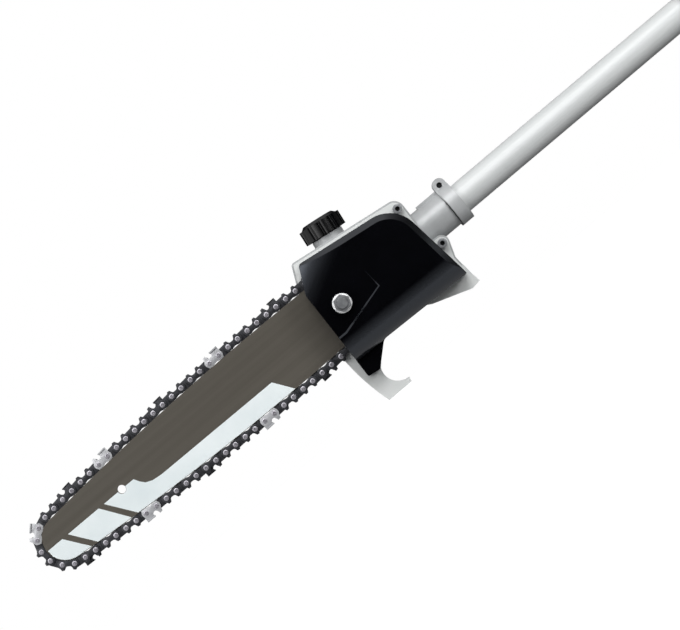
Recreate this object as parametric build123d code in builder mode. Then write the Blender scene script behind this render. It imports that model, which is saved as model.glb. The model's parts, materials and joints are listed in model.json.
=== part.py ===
from build123d import *
from math import acos, asin, atan2, cos, degrees, hypot, pi, radians, sin, tan
import os

os.makedirs("parts", exist_ok=True)

# Pole saw head on a telescoping pole, in millimetres. The pole lies on the X axis with X = 0 at the
# shoulder of the coupling spigot. The saw head is at the -X end, its guide bar on the -Y side.

# Fits
seat_gap = 0.05
running_gap = 0.1
free_gap = 0.35

# Tubes of the pole
inner_tube_r = 12.0
tube_wall = 1.5
slide_room = 1.5
outer_tube_r = inner_tube_r + slide_room + tube_wall
outer_tube_length = 476.0
tube_overlap = 240.0
exposed_length = 223.7
retract_travel = 200.0
extend_travel = 110.0

# Coupling spigot at the lower end
spigot_r = 12.0
spigot_length = 60.0
spigot_flange = 4.0
spigot_plug = 24.0
spigot_bore_r = 9.0
button_hole_r = 3.5
button_x = 35.0

# Telescope lock
bush_length = 40.0
bush_flange = 3.0
foot_length = 22.0
foot_flange = 4.0
collar_wall = 4.0
collar_r = outer_tube_r + collar_wall
collar_grip = 34.0
collar_lip = 3.0
collar_slit = 3.0
ear_width = 22.0
ear_thickness = 7.0
lock_bolt_r = 3.0
lock_nut_flats = 10.0
lock_nut_height = 5.0
knob_r = 13.0
knob_height = 15.0
knob_lobes = 6
knob_notch_r = 3.6
knob_socket_share = 0.6
collar_edge = 1.5
lock_bolt_end = 1.0

# Drive line inside the pole
drive_shaft_r = 4.0
drive_hex = 6.8
sleeve_r = 6.5
sleeve_foot = 25.0
sleeve_engaged = 20.0
socket_depth = 36.0
socket_web = 8.0
shaft_engaged = 30.0
shaft_bush_length = 16.0
lower_bush_length = 20.0
square_drive = 5.0
square_length = 10.0

# Saw chain
chain_pitch = 9.3
drive_link_count = 40
sprocket_teeth = 7
nose_teeth = 7
rivet_above_rail = 3.6
rivet_r = 1.9
rivet_head = 0.4
rivet_sides = 8
drive_link_thickness = 1.1
strap_thickness = 1.15
tang_depth = 9.2
tang_half = 4.3
tang_lean = 2.0
tang_blunt = 0.8
link_lobe = 3.0
link_back = 3.2
link_shoulder = 0.6
strap_back = 3.7
strap_waist = 2.4
strap_corner = 1.2
strap_toe = 0.5
strap_arch = 0.65
cutter_height = 6.6
cutter_overhang = 3.2
cutting_edge_x = 0.2
plate_fall = 0.5
gullet = ((-0.6, -3.6), (1.0, -2.6), (2.8, -3.4))
depth_gauge = ((3.4, -5.6), (6.0, -5.9))
top_plate_thickness = 1.1
first_cutter_angle = 134.0
cutter_every = 6

# Guide bar
bar_half_height = 26.4
bar_drop = 3.0
bar_offset = 31.0
rail_thickness = 1.3
groove_width = 1.3
groove_depth = 7.0
crest_x = -105.8
shoulder_x = -46.8
shoulder_r = 60.0
bar_tail_x = -26.0
bar_tail_half = 12.0
bar_heel_x = -34.0
bar_heel_half = 20.0
bar_slot_width = 8.6
tension_travel = 8.0
hang_hole_x = -250.6
hang_hole_r = 3.25
nose_hub_r = 5.5
tooth_tip_drop = 4.6
nose_clearance = 1.0
slot_spare = 8.0

# Bar clamp
stud_x = -36.2
stud_r = 4.0
stud_root = 11.0
stud_end = 2.0
nut_flats = 12.0
nut_height = 7.0
nut_flange_r = 7.4
nut_flange = 1.8
guide_thickness = 2.0
outer_guide_thickness = 1.0
guide_half = 15.0
guide_front = 14.0
guide_back_x = -20.0
guide_corner = 3.0
nut_turn = 10

# Output shaft, seen along Y
bevel_module = 2.0
pinion_teeth = 10
gear_teeth = 15
bevel_face = 6.0
tooth_fill = 0.8
pressure_angle = 20.0
tooth_rise_share = 0.8
tooth_depth_share = 1.1
gear_back = 4.0
gear_hub_wall = 2.5
shaft_r = 6.0
shaft_tip_r = 5.0
near_bearing_r = 14.0
near_bearing_width = 8.0
far_bearing_r = 13.0
far_bearing_width = 8.0
far_bearing_y = 13.2
sprocket_width = 7.0
washer_r = 9.0
washer_thickness = 1.0
clip_thickness = 1.0
clip_r = 7.5
seal_r = 9.5
pinion_bearing_width = 6.0
pinion_bearing_gap = 4.0
pinion_hub = 4.0
pinion_hub_wall = 1.5
circlip_thickness = 1.2
circlip_width = 2.5
clip_groove = 1.0
shaft_nose = 2.0

# Oil pump
pump_module = 1.0
pump_drive_teeth = 14
pump_teeth = 21
pump_gear_width = 5.0
pump_gear_y = 2.0
pump_angle = 225.0
pump_body_r = 8.0
pump_body_length = 5.5
pump_shaft_r = 2.5
pump_floor = 1.0
pump_hub_wall = 2.0
spur_rise_share = 0.7
strainer_r = 3.5
strainer_length = 10.0
strainer_stub_r = 2.0

# Gear housing and flange
flange_thickness = 4.0
gasket_thickness = 0.5
housing_far_y = 16.0
chamber_r = 20.0
pinion_room = 0.8
bearing_wall = 3.0
neck_wall = 3.0
neck_start = 16.0
neck_end = 82.7
tube_seat = 36.5
slit_width = 3.0
slit_start = 53.0
lip_half = 4.5
lip_height = 1.6
boss_r = 5.8
top_left_x = -46.5
top_left_z = 44.0
top_fall = 7.84
case_front = ((-53.2, 30.0), (-58.0, -43.0))
case_shoulder_x = 46.2
case_back = ((44.6, -10.3), (58.5, -10.3), (51.0, -31.0), (51.8, -44.7), (14.8, -43.0))
case_corners = (3.0, 3.0, 8.5, 1.0, 6.4, 3.0, 3.0, 3.0, 3.0)
case_edge = 2.0
boss_draft = 6.0
flange_step = 1.4
hook_front = ((-62.4, -37.6), (-60.5, -59.0), (-55.7, -80.9))
hook_tip = ((-33.8, -80.8), (-33.1, -77.0))
hook_throat = ((-44.2, -71.0), (-45.1, -58.5))
hook_root = ((-30.0, -42.0), (-36.0, -20.0), (-60.8, -20.0))
rear_spur = ((51.6, -39.0), (52.2, -49.0), (53.5, -56.0), (45.7, -57.2), (14.8, -46.7), (0.0, -38.0))
screw_spots = ((40.6, 24.3), (49.8, -16.8), (22.0, -36.5), (-46.5, -48.3))
screw_r = 2.5
screw_head_r = 3.6
screw_head = 5.0
screw_length = 20.0
tank_front_x = -46.0
tank_back_x = -27.0
tank_top_x = 6.0
tank_floor_z = -34.0
tank_shelf = ((-27.0, 8.0), (-17.0, 24.5))
tank_corner = 5.0
tank_roof = 7.0
tank_depth = 25.0
tank_cover_thickness = 3.0
tank_cover_rim = 4.5
tank_screw_r = 1.5
tank_screw_head_r = 2.8
tank_screw_length = 9.0

# Tube clamp ring
ring_width = 11.0
ring_wall = 2.0
ring_ear_r = 5.4
ring_ear_rise = 18.0
ring_ear_thickness = 4.0
ring_screw_r = 2.1
ring_screw_head_r = 3.2
ring_screw_head = 3.5
socket_share = 0.55
socket_floor_share = 0.4

# Oil filler and cap
filler_x = -12.4
filler_y = -4.5
filler_r = 12.75
filler_bore_r = 9.5
filler_rise = 4.6
cap_r = 17.2
cap_height = 11.0
cap_dome = 2.4
cap_lobes = 12
cap_notch_r = 3.0
cap_plug_r = 9.0
cap_plug_length = 9.0
cap_seal = 0.7
cap_notch = 1.0
cap_brow = 2.0
cap_dome_taper = 50
seal_inset = 0.5

# Sprocket cover
cover_depth = 35.0
cover_wall = 2.6
cover_taper = 1.0
cover_outline = (
    (-42.8, 40.0), (40.2, 28.6), (49.1, -45.8), (-29.5, -43.6), (-45.9, -58.6), (-56.3, -57.2), (-53.7, 18.5),
)
cover_corners = (4, 26, 1.2, 6, 1.5, 1.5, 8)
brow_depth = 6.5
brow_taper = 38.0
roll_r = 22.0
roll_run = 21.0
tongue_depth = 15.0
corner_roll_r = 85.0
corner_roll_run = 27.0
corner_sweep = 45.0
panel_line = ((-8.2, 5.8), (-7.7, -10.2), (-47.7, -20.7), (-62.0, -20.7), (-62.0, 5.8))
panel_tilt = 2.4
panel_draft = 50.0
cover_slot = 8.0
cover_mouth = (-65.0, -35.0)
cover_mouth_top = 34.5
cover_mouth_foot = -42.0
cover_boss_r = 8.4

# Bar tensioner
tension_rise = 11.5
tension_y = 6.5
tension_screw_r = 2.5
tension_head_r = 4.0
tension_head = 4.0
tension_block = 8.0
tension_pin_r = 2.4
tension_pin_back = 4.0
tension_seat = 1.2
tension_driver = 1.2


# Heights across the head, worked out from the guide bar's plane
bar_y = -bar_offset
bar_z = -bar_drop
tension_z = bar_z + tension_rise
bar_half = groove_width / 2 + rail_thickness
flange_y = bar_y + bar_half + guide_thickness
gasket_y = flange_y + flange_thickness
case_y = gasket_y + gasket_thickness
cover_y = flange_y - cover_depth
outer_guide_y = bar_y - bar_half - outer_guide_thickness

# Places along the pole
outer_top_x = -spigot_flange - outer_tube_length
lock_face_x = outer_top_x - bush_flange - collar_lip
out_x = lock_face_x - exposed_length - neck_end
tube_top_x = out_x + tube_seat
tube_foot_x = outer_top_x + tube_overlap
sleeve_top_x = tube_foot_x - extend_travel - sleeve_engaged
shaft_foot_x = sleeve_top_x + extend_travel + shaft_engaged
hex_top_x = sleeve_top_x - retract_travel - sleeve_engaged


def side(y):
    return Plane(origin=(out_x, y, 0), x_dir=(1, 0, 0), z_dir=(0, -1, 0))


def across(x, y=0.0, z=0.0):
    return Plane(origin=(x, y, z), x_dir=(0, 1, 0), z_dir=(1, 0, 0))


def save(part, name):
    part.label = name
    export_step(part, f"parts/{name}.step")


def ring(plane, length, outer_r, inner_r):
    with BuildPart() as made:
        with BuildSketch(plane):
            Circle(outer_r)
            Circle(inner_r, mode=Mode.SUBTRACT)
        extrude(amount=length)
    return made.part


def group(name, *parts):
    save(Compound(children=list(parts)), name)


# Path of the rivets: a belt round the nose, the rails, the rail shoulders and the drive sprocket,
# run counter-clockwise in the side view
def pitch_radius(teeth):
    return chain_pitch / (2 * sin(pi / (2 * teeth)))


def belt(nose_x):
    crest = bar_half_height + rivet_above_rail
    nose_r = pitch_radius(nose_teeth)
    rail_r = ((crest_x - nose_x) ** 2 + crest ** 2 - nose_r ** 2) / (2 * (crest - nose_r))
    tilt = asin((shoulder_x - crest_x) / rail_r)
    shoulder_reach = rail_r - shoulder_r
    circles = [(nose_x, bar_z, nose_r, nose_teeth)]
    rails = []
    for up in (-1, 1):
        rail = (crest_x, bar_z + up * (crest - rail_r), rail_r, 0)
        shoulder = (rail[0] + shoulder_reach * sin(tilt), rail[1] + up * shoulder_reach * cos(tilt))
        rails.append((rail, (*shoulder, shoulder_r, 0)))
    circles += [rails[0][0], rails[0][1]]
    circles.append((0.0, 0.0, pitch_radius(sprocket_teeth), sprocket_teeth))
    circles += [rails[1][1], rails[1][0]]
    leaves = []
    for (ax, az, ar, _), (bx, bz, br, _) in zip(circles, circles[1:] + circles[:1]):
        span = hypot(bx - ax, bz - az)
        leaves.append(atan2(bz - az, bx - ax) - acos(max(-1, min(1, (ar - br) / span))))
    return circles, leaves


def belt_runs(nose_x):
    circles, leaves = belt(nose_x)
    runs = []
    for i, (x, z, r, teeth) in enumerate(circles):
        turn = (leaves[i] - leaves[i - 1]) % (2 * pi)
        steps = turn * teeth / pi if teeth else turn * r / chain_pitch
        runs.append((steps, "arc", (x, z, r, leaves[i - 1], turn)))
        nx, nz, nr, _ = circles[(i + 1) % len(circles)]
        lean = (cos(leaves[i]), sin(leaves[i]))
        start = (x + r * lean[0], z + r * lean[1])
        stop = (nx + nr * lean[0], nz + nr * lean[1])
        runs.append((hypot(stop[0] - start[0], stop[1] - start[1]) / chain_pitch, "line", (start, stop)))
    return runs


def close_belt():
    far, near = -chain_pitch * drive_link_count, crest_x - 2 * pitch_radius(nose_teeth)
    for _ in range(60):
        middle = (far + near) / 2
        if sum(run[0] for run in belt_runs(middle)) > 2 * drive_link_count:
            far = middle
        else:
            near = middle
    return middle


nose_x = close_belt()
runs = belt_runs(nose_x)
circles, leaves = belt(nose_x)
nose_r = pitch_radius(nose_teeth)
first_step = ((radians(first_cutter_angle) - leaves[-1]) % (2 * pi)) * nose_teeth / pi - 0.5


def on_belt(step):
    step %= 2 * drive_link_count
    for steps, kind, shape in runs:
        if step <= steps or (steps, kind, shape) == runs[-1]:
            break
        step -= steps
    share = step / steps if steps else 0.0
    if kind == "arc":
        x, z, r, start, turn = shape
        return x + r * cos(start + share * turn), z + r * sin(start + share * turn)
    (x0, z0), (x1, z1) = shape
    return x0 + share * (x1 - x0), z0 + share * (z1 - z0)


rivets = [on_belt(first_step + i) for i in range(2 * drive_link_count)]


def link_place(i):
    (x0, z0), (x1, z1) = rivets[i], rivets[(i + 1) % len(rivets)]
    turn = atan2(z1 - z0, x1 - x0)
    origin = (out_x + (x0 + x1) / 2, bar_y, (z0 + z1) / 2)
    return Plane(origin=origin, x_dir=(cos(turn), 0, sin(turn)), z_dir=(0, -1, 0)).location


strap_places = [link_place(2 * i) for i in range(drive_link_count)]
drive_places = [link_place(2 * i + 1) for i in range(drive_link_count)]

# Chain pieces, drawn with X along the run and Y towards the inside of the loop
half_pitch = chain_pitch / 2
link_half = half_pitch + link_lobe
strap_inner = drive_link_thickness / 2 + seat_gap
strap_outer = strap_inner + strap_thickness
rivet_half = strap_outer + rivet_head
rail_line = rivet_above_rail - seat_gap
strap_end = link_half + strap_toe
strap_foot = (
    (link_half - strap_corner, rail_line), (0, rail_line - strap_arch), (strap_corner - link_half, rail_line),
)

with BuildPart() as drive_link:
    with BuildSketch(Plane.XY.offset(-drive_link_thickness / 2)):
        with BuildLine():
            Polyline(
                (-link_half, -link_back / 2), (-half_pitch, -link_back), (half_pitch, -link_back),
                (link_half, -link_back / 2), (link_half - link_shoulder, rail_line), (tang_half, rail_line),
                (tang_half - tang_lean, tang_depth - tang_blunt), (-tang_blunt, tang_depth),
                (-tang_half, rail_line), (link_shoulder - link_half, rail_line), close=True,
            )
        make_face()
        with Locations((-half_pitch, 0), (half_pitch, 0)):
            RegularPolygon(rivet_r + running_gap, rivet_sides, major_radius=False, mode=Mode.SUBTRACT)
    extrude(amount=drive_link_thickness)

with BuildPart() as tie_strap:
    with BuildSketch(Plane.XY.offset(strap_inner)):
        with BuildLine():
            Polyline(
                (-strap_end, strap_toe), (strap_corner - strap_end, -link_back),
                (strap_corner - half_pitch, -strap_back), (0, -strap_waist),
                (half_pitch - strap_corner, -strap_back), (strap_end - strap_corner, -link_back),
                (strap_end, strap_toe), *strap_foot, close=True,
            )
        make_face()
    extrude(amount=strap_thickness)

with BuildPart() as cutter:
    with BuildSketch(Plane.XY.offset(strap_inner)):
        with BuildLine():
            Polyline(
                (-strap_end, strap_toe), (-link_half, -cutter_height),
                (cutting_edge_x, plate_fall - cutter_height), *gullet, *depth_gauge,
                (strap_end, strap_toe), *strap_foot, close=True,
            )
        make_face()
    extrude(amount=strap_thickness)
    with BuildSketch(Plane.XY.offset(strap_inner)):
        with BuildLine():
            Polyline(
                (-link_half, -cutter_height), (cutting_edge_x, plate_fall - cutter_height),
                (cutting_edge_x, plate_fall - cutter_height + top_plate_thickness),
                (-link_half, top_plate_thickness - cutter_height), close=True,
            )
        make_face()
    extrude(amount=cutter_overhang - strap_inner)

with BuildPart() as rivet_pair:
    with BuildSketch(Plane.XY.offset(-rivet_half)):
        with Locations((-half_pitch, 0), (half_pitch, 0)):
            RegularPolygon(rivet_r, rivet_sides)
    extrude(amount=2 * rivet_half)

far_strap = mirror(tie_strap.part, about=Plane.XY)
far_cutter = mirror(cutter.part, about=Plane.XY)

near_cutters = [*range(0, drive_link_count, cutter_every)]
far_cutters = [(i + j) // 2 for i, j in zip(near_cutters, [*near_cutters[1:], drive_link_count])]
near_ties = [place for i, place in enumerate(strap_places) if i not in near_cutters]
far_ties = [place for i, place in enumerate(strap_places) if i not in far_cutters]
group("chain_drive_links", *[drive_link.part.moved(place) for place in drive_places])
group(
    "chain_tie_straps",
    *[tie_strap.part.moved(place) for place in near_ties],
    *[far_strap.moved(place) for place in far_ties],
)
group(
    "chain_cutters",
    *[cutter.part.moved(strap_places[i]) for i in near_cutters],
    *[far_cutter.moved(strap_places[i]) for i in far_cutters],
)
group("chain_rivets", *[rivet_pair.part.moved(place) for place in drive_places])


# Guide bar: rails and nose lie inside the rivet path by one strap, the tail is tucked in
def bar_face(inset):
    tuck = inset - rivet_above_rail
    tail, heel = bar_tail_x - tuck, bar_heel_x - tuck
    tail_half, heel_half = bar_tail_half - tuck, bar_heel_half - tuck
    with BuildSketch(Plane.XY) as face:
        with BuildLine():
            ends = []
            for i in (4, 5, 0, 1, 2):
                x, z, r, _ = circles[i]
                turn = (leaves[i] - leaves[i - 1]) % (2 * pi)
                start, middle, stop = [
                    (x + (r - inset) * cos(leaves[i - 1] + angle), z + (r - inset) * sin(leaves[i - 1] + angle))
                    for angle in (0, turn / 2, turn)
                ]
                ends.append(ends[-1] if ends else start)
                ThreePointArc(ends[-1], middle, stop)
                ends.append(stop)
            Polyline(
                ends[-1], (heel, bar_z - heel_half), (tail, bar_z - tail_half),
                (tail, bar_z + tail_half), (heel, bar_z + heel_half), ends[0],
            )
        make_face()
    return face.sketch


tension_hole_x = stud_x + tension_pin_back


def bar_holes():
    slot_length = 2 * stud_r + tension_travel + slot_spare
    with Locations((stud_x - tension_travel / 2, bar_z)):
        SlotOverall(slot_length, bar_slot_width, mode=Mode.SUBTRACT)
    with Locations((tension_hole_x, tension_z), (tension_hole_x, 2 * bar_z - tension_z)):
        Circle(tension_pin_r + running_gap, mode=Mode.SUBTRACT)
    with Locations((hang_hole_x, bar_z)):
        Circle(hang_hole_r, mode=Mode.SUBTRACT)


plates = []
for plate_y in (bar_y + bar_half, bar_y - groove_width / 2):
    with BuildPart() as bar_plate:
        with BuildSketch(side(plate_y)):
            add(bar_face(rivet_above_rail))
            bar_holes()
        extrude(amount=rail_thickness)
    plates.append(bar_plate.part)
group("bar_side_plates", *plates)

tooth_tip_r = nose_r - tooth_tip_drop
with BuildPart() as bar_core:
    with BuildSketch(side(bar_y + groove_width / 2)):
        add(bar_face(rivet_above_rail + groove_depth))
        bar_holes()
        with Locations((nose_x, bar_z)):
            Circle(tooth_tip_r + nose_clearance, mode=Mode.SUBTRACT)
        with Locations((nose_x - nose_r, bar_z)):
            Rectangle(2 * nose_r, 2 * nose_r, mode=Mode.SUBTRACT)
    extrude(amount=groove_width)
save(bar_core.part, "bar_core")


# Sprockets: a disc with one pocket for each drive link's tang
def sprocket_face(teeth, first_angle, bore_r):
    reach = pitch_radius(teeth) * cos(pi / (2 * teeth))
    wide, deep = tang_half + free_gap, tang_depth + free_gap
    with BuildSketch(Plane.XY) as pocket:
        with BuildLine():
            Polyline(
                (reach, wide), (reach - rail_line, wide), (reach - deep + tang_blunt, wide - tang_lean),
                (reach - deep, -tang_blunt), (reach - rail_line, -wide), (reach, -wide), close=True,
            )
        make_face()
    with BuildSketch(Plane.XY) as face:
        Circle(pitch_radius(teeth) - tooth_tip_drop)
        with PolarLocations(0, teeth, start_angle=degrees(first_angle)):
            add(pocket.sketch, mode=Mode.SUBTRACT)
        Circle(bore_r, mode=Mode.SUBTRACT)
    return face.sketch


def tang_angle(x, z, links):
    place = max(links, key=lambda link: -abs(atan2(link.position.Z - z, link.position.X - out_x - x)))
    return atan2(place.position.Z - z, place.position.X - out_x - x)


sprocket_near_y = bar_y - sprocket_width / 2
with BuildPart() as drive_sprocket:
    with BuildSketch(side(bar_y + sprocket_width / 2)):
        add(sprocket_face(sprocket_teeth, tang_angle(0, 0, drive_places), shaft_tip_r + seat_gap))
    extrude(amount=sprocket_width)
save(drive_sprocket.part, "drive_sprocket")

nose_thickness = drive_link_thickness
with BuildPart() as nose_sprocket:
    nose_plane = Plane((out_x + nose_x, bar_y + nose_thickness / 2, bar_z), x_dir=(1, 0, 0), z_dir=(0, -1, 0))
    with BuildSketch(nose_plane):
        add(sprocket_face(nose_teeth, radians(first_cutter_angle) + pi / nose_teeth, nose_hub_r + running_gap))
    extrude(amount=nose_thickness)
save(nose_sprocket.part, "nose_sprocket")

with BuildPart() as nose_hub:
    with BuildSketch(side(bar_y + groove_width / 2)):
        with Locations((nose_x, bar_z)):
            Circle(nose_hub_r)
    extrude(amount=groove_width)
save(nose_hub.part, "nose_hub")


# Bevel gears: straight teeth that run to the crossing of the two shafts
pinion_pitch_r = bevel_module * pinion_teeth / 2
gear_pitch_r = bevel_module * gear_teeth / 2
cone_length = hypot(pinion_pitch_r, gear_pitch_r)
toe_share = 1 - bevel_face / cone_length
tooth_rise = tooth_rise_share * bevel_module
tooth_depth = tooth_depth_share * bevel_module
flank = tan(radians(pressure_angle))


def bevel_face_points(teeth, pitch_r, axial, share, first):
    cone = atan2(pitch_r, axial)
    points = []
    for i in range(teeth):
        middle = 2 * pi * (i + first) / teeth
        for sign, height in ((-1, -tooth_depth), (-1, tooth_rise), (1, tooth_rise), (1, -tooth_depth)):
            half = pi * bevel_module / 4 * tooth_fill - height * flank
            angle = middle + sign * half / (pitch_r + height * cos(cone))
            radius = share * axial * tan(cone + height / cone_length)
            points.append((radius * cos(angle), radius * sin(angle)))
    return points


bevel_gear_y = -pinion_pitch_r
gear_hub_y = bevel_gear_y - gear_back
near_bearing_y = case_y + near_bearing_width
gear_hub_r = shaft_r + gear_hub_wall
gear_root = atan2(gear_pitch_r, pinion_pitch_r) - tooth_depth / cone_length
gear_back_r = pinion_pitch_r * tan(gear_root) - free_gap
with BuildPart() as bevel_gear:
    for share in (1, toe_share):
        with BuildSketch(side(share * bevel_gear_y)):
            with BuildLine():
                Polyline(*bevel_face_points(gear_teeth, gear_pitch_r, pinion_pitch_r, share, 0.5), close=True)
            make_face()
    loft(ruled=True)
    with BuildSketch(side(bevel_gear_y)):
        Circle(gear_back_r)
    extrude(amount=gear_back)
    with BuildSketch(side(gear_hub_y)):
        Circle(gear_hub_r)
    extrude(amount=gear_hub_y - near_bearing_y)
    with BuildSketch(side(0)):
        Circle(shaft_r + seat_gap)
    extrude(amount=bar_offset, mode=Mode.SUBTRACT)
save(bevel_gear.part, "bevel_gear")

bearing_r = inner_tube_r
first_bearing_x = out_x + gear_pitch_r + pinion_hub
second_bearing_x = first_bearing_x + pinion_bearing_width + pinion_bearing_gap
pinion_end_x = second_bearing_x + pinion_bearing_width
pinion_hub_r = shaft_r + pinion_hub_wall
with BuildPart() as bevel_pinion:
    for share in (1, toe_share):
        with BuildSketch(across(out_x + share * gear_pitch_r)):
            with BuildLine():
                Polyline(*bevel_face_points(pinion_teeth, pinion_pitch_r, gear_pitch_r, share, 0), close=True)
            make_face()
    loft(ruled=True)
    with BuildSketch(across(out_x + gear_pitch_r)):
        Circle(pinion_hub_r)
    extrude(amount=first_bearing_x - out_x - gear_pitch_r)
    with BuildSketch(across(first_bearing_x)):
        Circle(shaft_r - seat_gap)
    extrude(amount=pinion_end_x - first_bearing_x)
    with BuildSketch(across(pinion_end_x)):
        Rectangle(square_drive + 2 * seat_gap, square_drive + 2 * seat_gap)
    extrude(amount=-square_length, mode=Mode.SUBTRACT)
save(bevel_pinion.part, "bevel_pinion")

with BuildPart() as drive_shaft:
    with BuildSketch(across(pinion_end_x)):
        Circle(drive_shaft_r)
    extrude(amount=hex_top_x - pinion_end_x)
    with BuildSketch(across(hex_top_x)):
        RegularPolygon(drive_hex / 2, 6, major_radius=False)
    extrude(amount=shaft_foot_x - hex_top_x)
    with BuildSketch(across(pinion_end_x)):
        Rectangle(square_drive, square_drive)
    extrude(amount=-square_length + seat_gap)
save(drive_shaft.part, "drive_shaft")

group(
    "pinion_bearings",
    ring(across(first_bearing_x), pinion_bearing_width, bearing_r, shaft_r),
    ring(across(second_bearing_x), pinion_bearing_width, bearing_r, shaft_r),
)
save(ring(across(pinion_end_x), circlip_thickness, bearing_r, bearing_r - circlip_width), "bearing_circlip")

# Output shaft with what it carries
shaft_near_y = sprocket_near_y - washer_thickness - clip_thickness - shaft_nose
groove_r = shaft_tip_r - clip_groove
pump_gear_far_y = pump_gear_y + pump_gear_width
far_bearing_end_y = far_bearing_y + far_bearing_width
with BuildPart() as output_shaft:
    with BuildSketch(side(pump_gear_y)):
        Circle(shaft_r)
    extrude(amount=pump_gear_y - bar_y - sprocket_width / 2)
    with BuildSketch(side(far_bearing_end_y)):
        Circle(shaft_tip_r)
    extrude(amount=far_bearing_end_y - shaft_near_y)
    with BuildSketch(side(sprocket_near_y - washer_thickness)):
        Circle(shaft_tip_r)
        Circle(groove_r, mode=Mode.SUBTRACT)
    extrude(amount=clip_thickness, mode=Mode.SUBTRACT)
save(output_shaft.part, "output_shaft")

save(ring(side(near_bearing_y), near_bearing_width, near_bearing_r, shaft_r + seat_gap), "near_bearing")
save(ring(side(far_bearing_end_y), far_bearing_width, far_bearing_r, shaft_tip_r + seat_gap), "far_bearing")
save(ring(side(gasket_y), flange_thickness, seal_r, shaft_r + running_gap), "shaft_seal")
save(ring(side(sprocket_near_y), washer_thickness, washer_r, shaft_tip_r + seat_gap), "sprocket_washer")
with BuildPart() as sprocket_clip:
    with BuildSketch(side(sprocket_near_y - washer_thickness)):
        Circle(clip_r)
        Circle(groove_r + seat_gap, mode=Mode.SUBTRACT)
        with Locations((-clip_r, 0)):
            Rectangle(2 * clip_r, 2 * groove_r, mode=Mode.SUBTRACT)
    extrude(amount=clip_thickness)
save(sprocket_clip.part, "sprocket_clip")


# Oil pump: a spur pair turns the pump shaft beside the output shaft
spur_rise = spur_rise_share * pump_module
spur_depth = tooth_depth_share * pump_module


def spur_points(teeth, first):
    pitch_r = pump_module * teeth / 2
    points = []
    for i in range(teeth):
        middle = 2 * pi * (i + first) / teeth
        for sign, height in ((-1, -spur_depth), (-1, spur_rise), (1, spur_rise), (1, -spur_depth)):
            radius = pitch_r + height
            angle = middle + sign * (pi * pump_module / 4 * tooth_fill - height * flank) / radius
            points.append((radius * cos(angle), radius * sin(angle)))
    return points


pump_reach = pump_module * (pump_drive_teeth + pump_teeth) / 2
pump_turn = radians(pump_angle)
pump_x, pump_z = pump_reach * cos(pump_turn), pump_reach * sin(pump_turn)
pump_tip_r = pump_module * (pump_teeth / 2 + 1)
drive_phase = pump_turn * pump_drive_teeth / (2 * pi)
pump_phase = (pump_turn + pi) * pump_teeth / (2 * pi) + 0.5
with BuildPart() as pump_drive_gear:
    with BuildSketch(side(pump_gear_far_y)):
        with BuildLine():
            Polyline(*spur_points(pump_drive_teeth, drive_phase), close=True)
        make_face()
    extrude(amount=pump_gear_width)
    with BuildSketch(side(far_bearing_y)):
        Circle(shaft_tip_r + pump_hub_wall)
    extrude(amount=far_bearing_y - pump_gear_far_y)
    with BuildSketch(side(far_bearing_y)):
        Circle(shaft_tip_r + seat_gap)
    extrude(amount=far_bearing_y - pump_gear_y, mode=Mode.SUBTRACT)
save(pump_drive_gear.part, "pump_drive_gear")

pump_body_y = pump_gear_far_y + free_gap
pump_far_y = pump_body_y + pump_body_length
pump_plane = Plane((out_x + pump_x, pump_gear_far_y, pump_z), x_dir=(1, 0, 0), z_dir=(0, -1, 0))
with BuildPart() as pump_gear:
    with BuildSketch(pump_plane):
        with BuildLine():
            Polyline(*spur_points(pump_teeth, pump_phase), close=True)
        make_face()
    extrude(amount=pump_gear_width)
    with BuildSketch(pump_plane):
        Circle(pump_shaft_r)
    extrude(amount=pump_floor - pump_body_length)
save(pump_gear.part, "pump_gear")

with BuildPart() as pump_body:
    with BuildSketch(pump_plane.offset(pump_gear_far_y - pump_far_y)):
        Circle(pump_body_r)
    extrude(amount=pump_body_length)
    with BuildSketch(pump_plane.offset(pump_gear_far_y - pump_body_y)):
        Circle(pump_shaft_r + running_gap)
    extrude(amount=pump_floor - pump_body_length, mode=Mode.SUBTRACT)
save(pump_body.part, "pump_body")

# Side view of the casting: top edge falls towards the pole
top_slope = tan(radians(top_fall))


def top_z(x):
    return top_left_z - (x - top_left_x) * top_slope


def front_x(z):
    (high_x, high_z), (low_x, low_z) = case_front
    return high_x + (low_x - high_x) * (z - high_z) / (low_z - high_z)


rim_mid = tank_cover_rim / 2
tank_brow_x = tank_front_x + tank_corner
tank_brow_z = top_z(tank_brow_x) - tank_roof
step_z = tank_shelf[-1][1]
tank_screw_spots = (
    (tank_front_x - rim_mid, tank_brow_z - 2 * tank_corner), (tank_front_x - rim_mid, 0),
    (tank_front_x - rim_mid, tank_floor_z), (tank_back_x + rim_mid, tank_floor_z), (tank_back_x + rim_mid, 0),
    (tank_top_x - tank_corner, step_z - rim_mid), (tank_top_x + rim_mid, step_z),
)


def case_face():
    with BuildSketch(Plane.XY) as face:
        with BuildLine():
            FilletPolyline(
                case_front[0], (top_left_x, top_left_z), (case_shoulder_x, top_z(case_shoulder_x)),
                *case_back, case_front[1], radius=case_corners, close=True,
            )
        make_face()
        with Locations(*screw_spots[2:]):
            Circle(boss_r)
    return face.sketch


# The flange and its gasket stand back from the edge of the case
def joint_face():
    with BuildSketch(Plane.XY) as face:
        add(case_face())
        offset(amount=-flange_step)
    return face.sketch


def tank_face():
    with BuildSketch(Plane.XY) as face:
        with BuildLine():
            Polyline(
                (tank_front_x, tank_floor_z), (tank_back_x, tank_floor_z), *tank_shelf, (tank_top_x, step_z),
                (tank_top_x, top_z(tank_top_x) - tank_roof), (tank_brow_x, tank_brow_z),
                (tank_front_x, tank_brow_z - tank_corner), close=True,
            )
        make_face()
    return face.sketch


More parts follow.
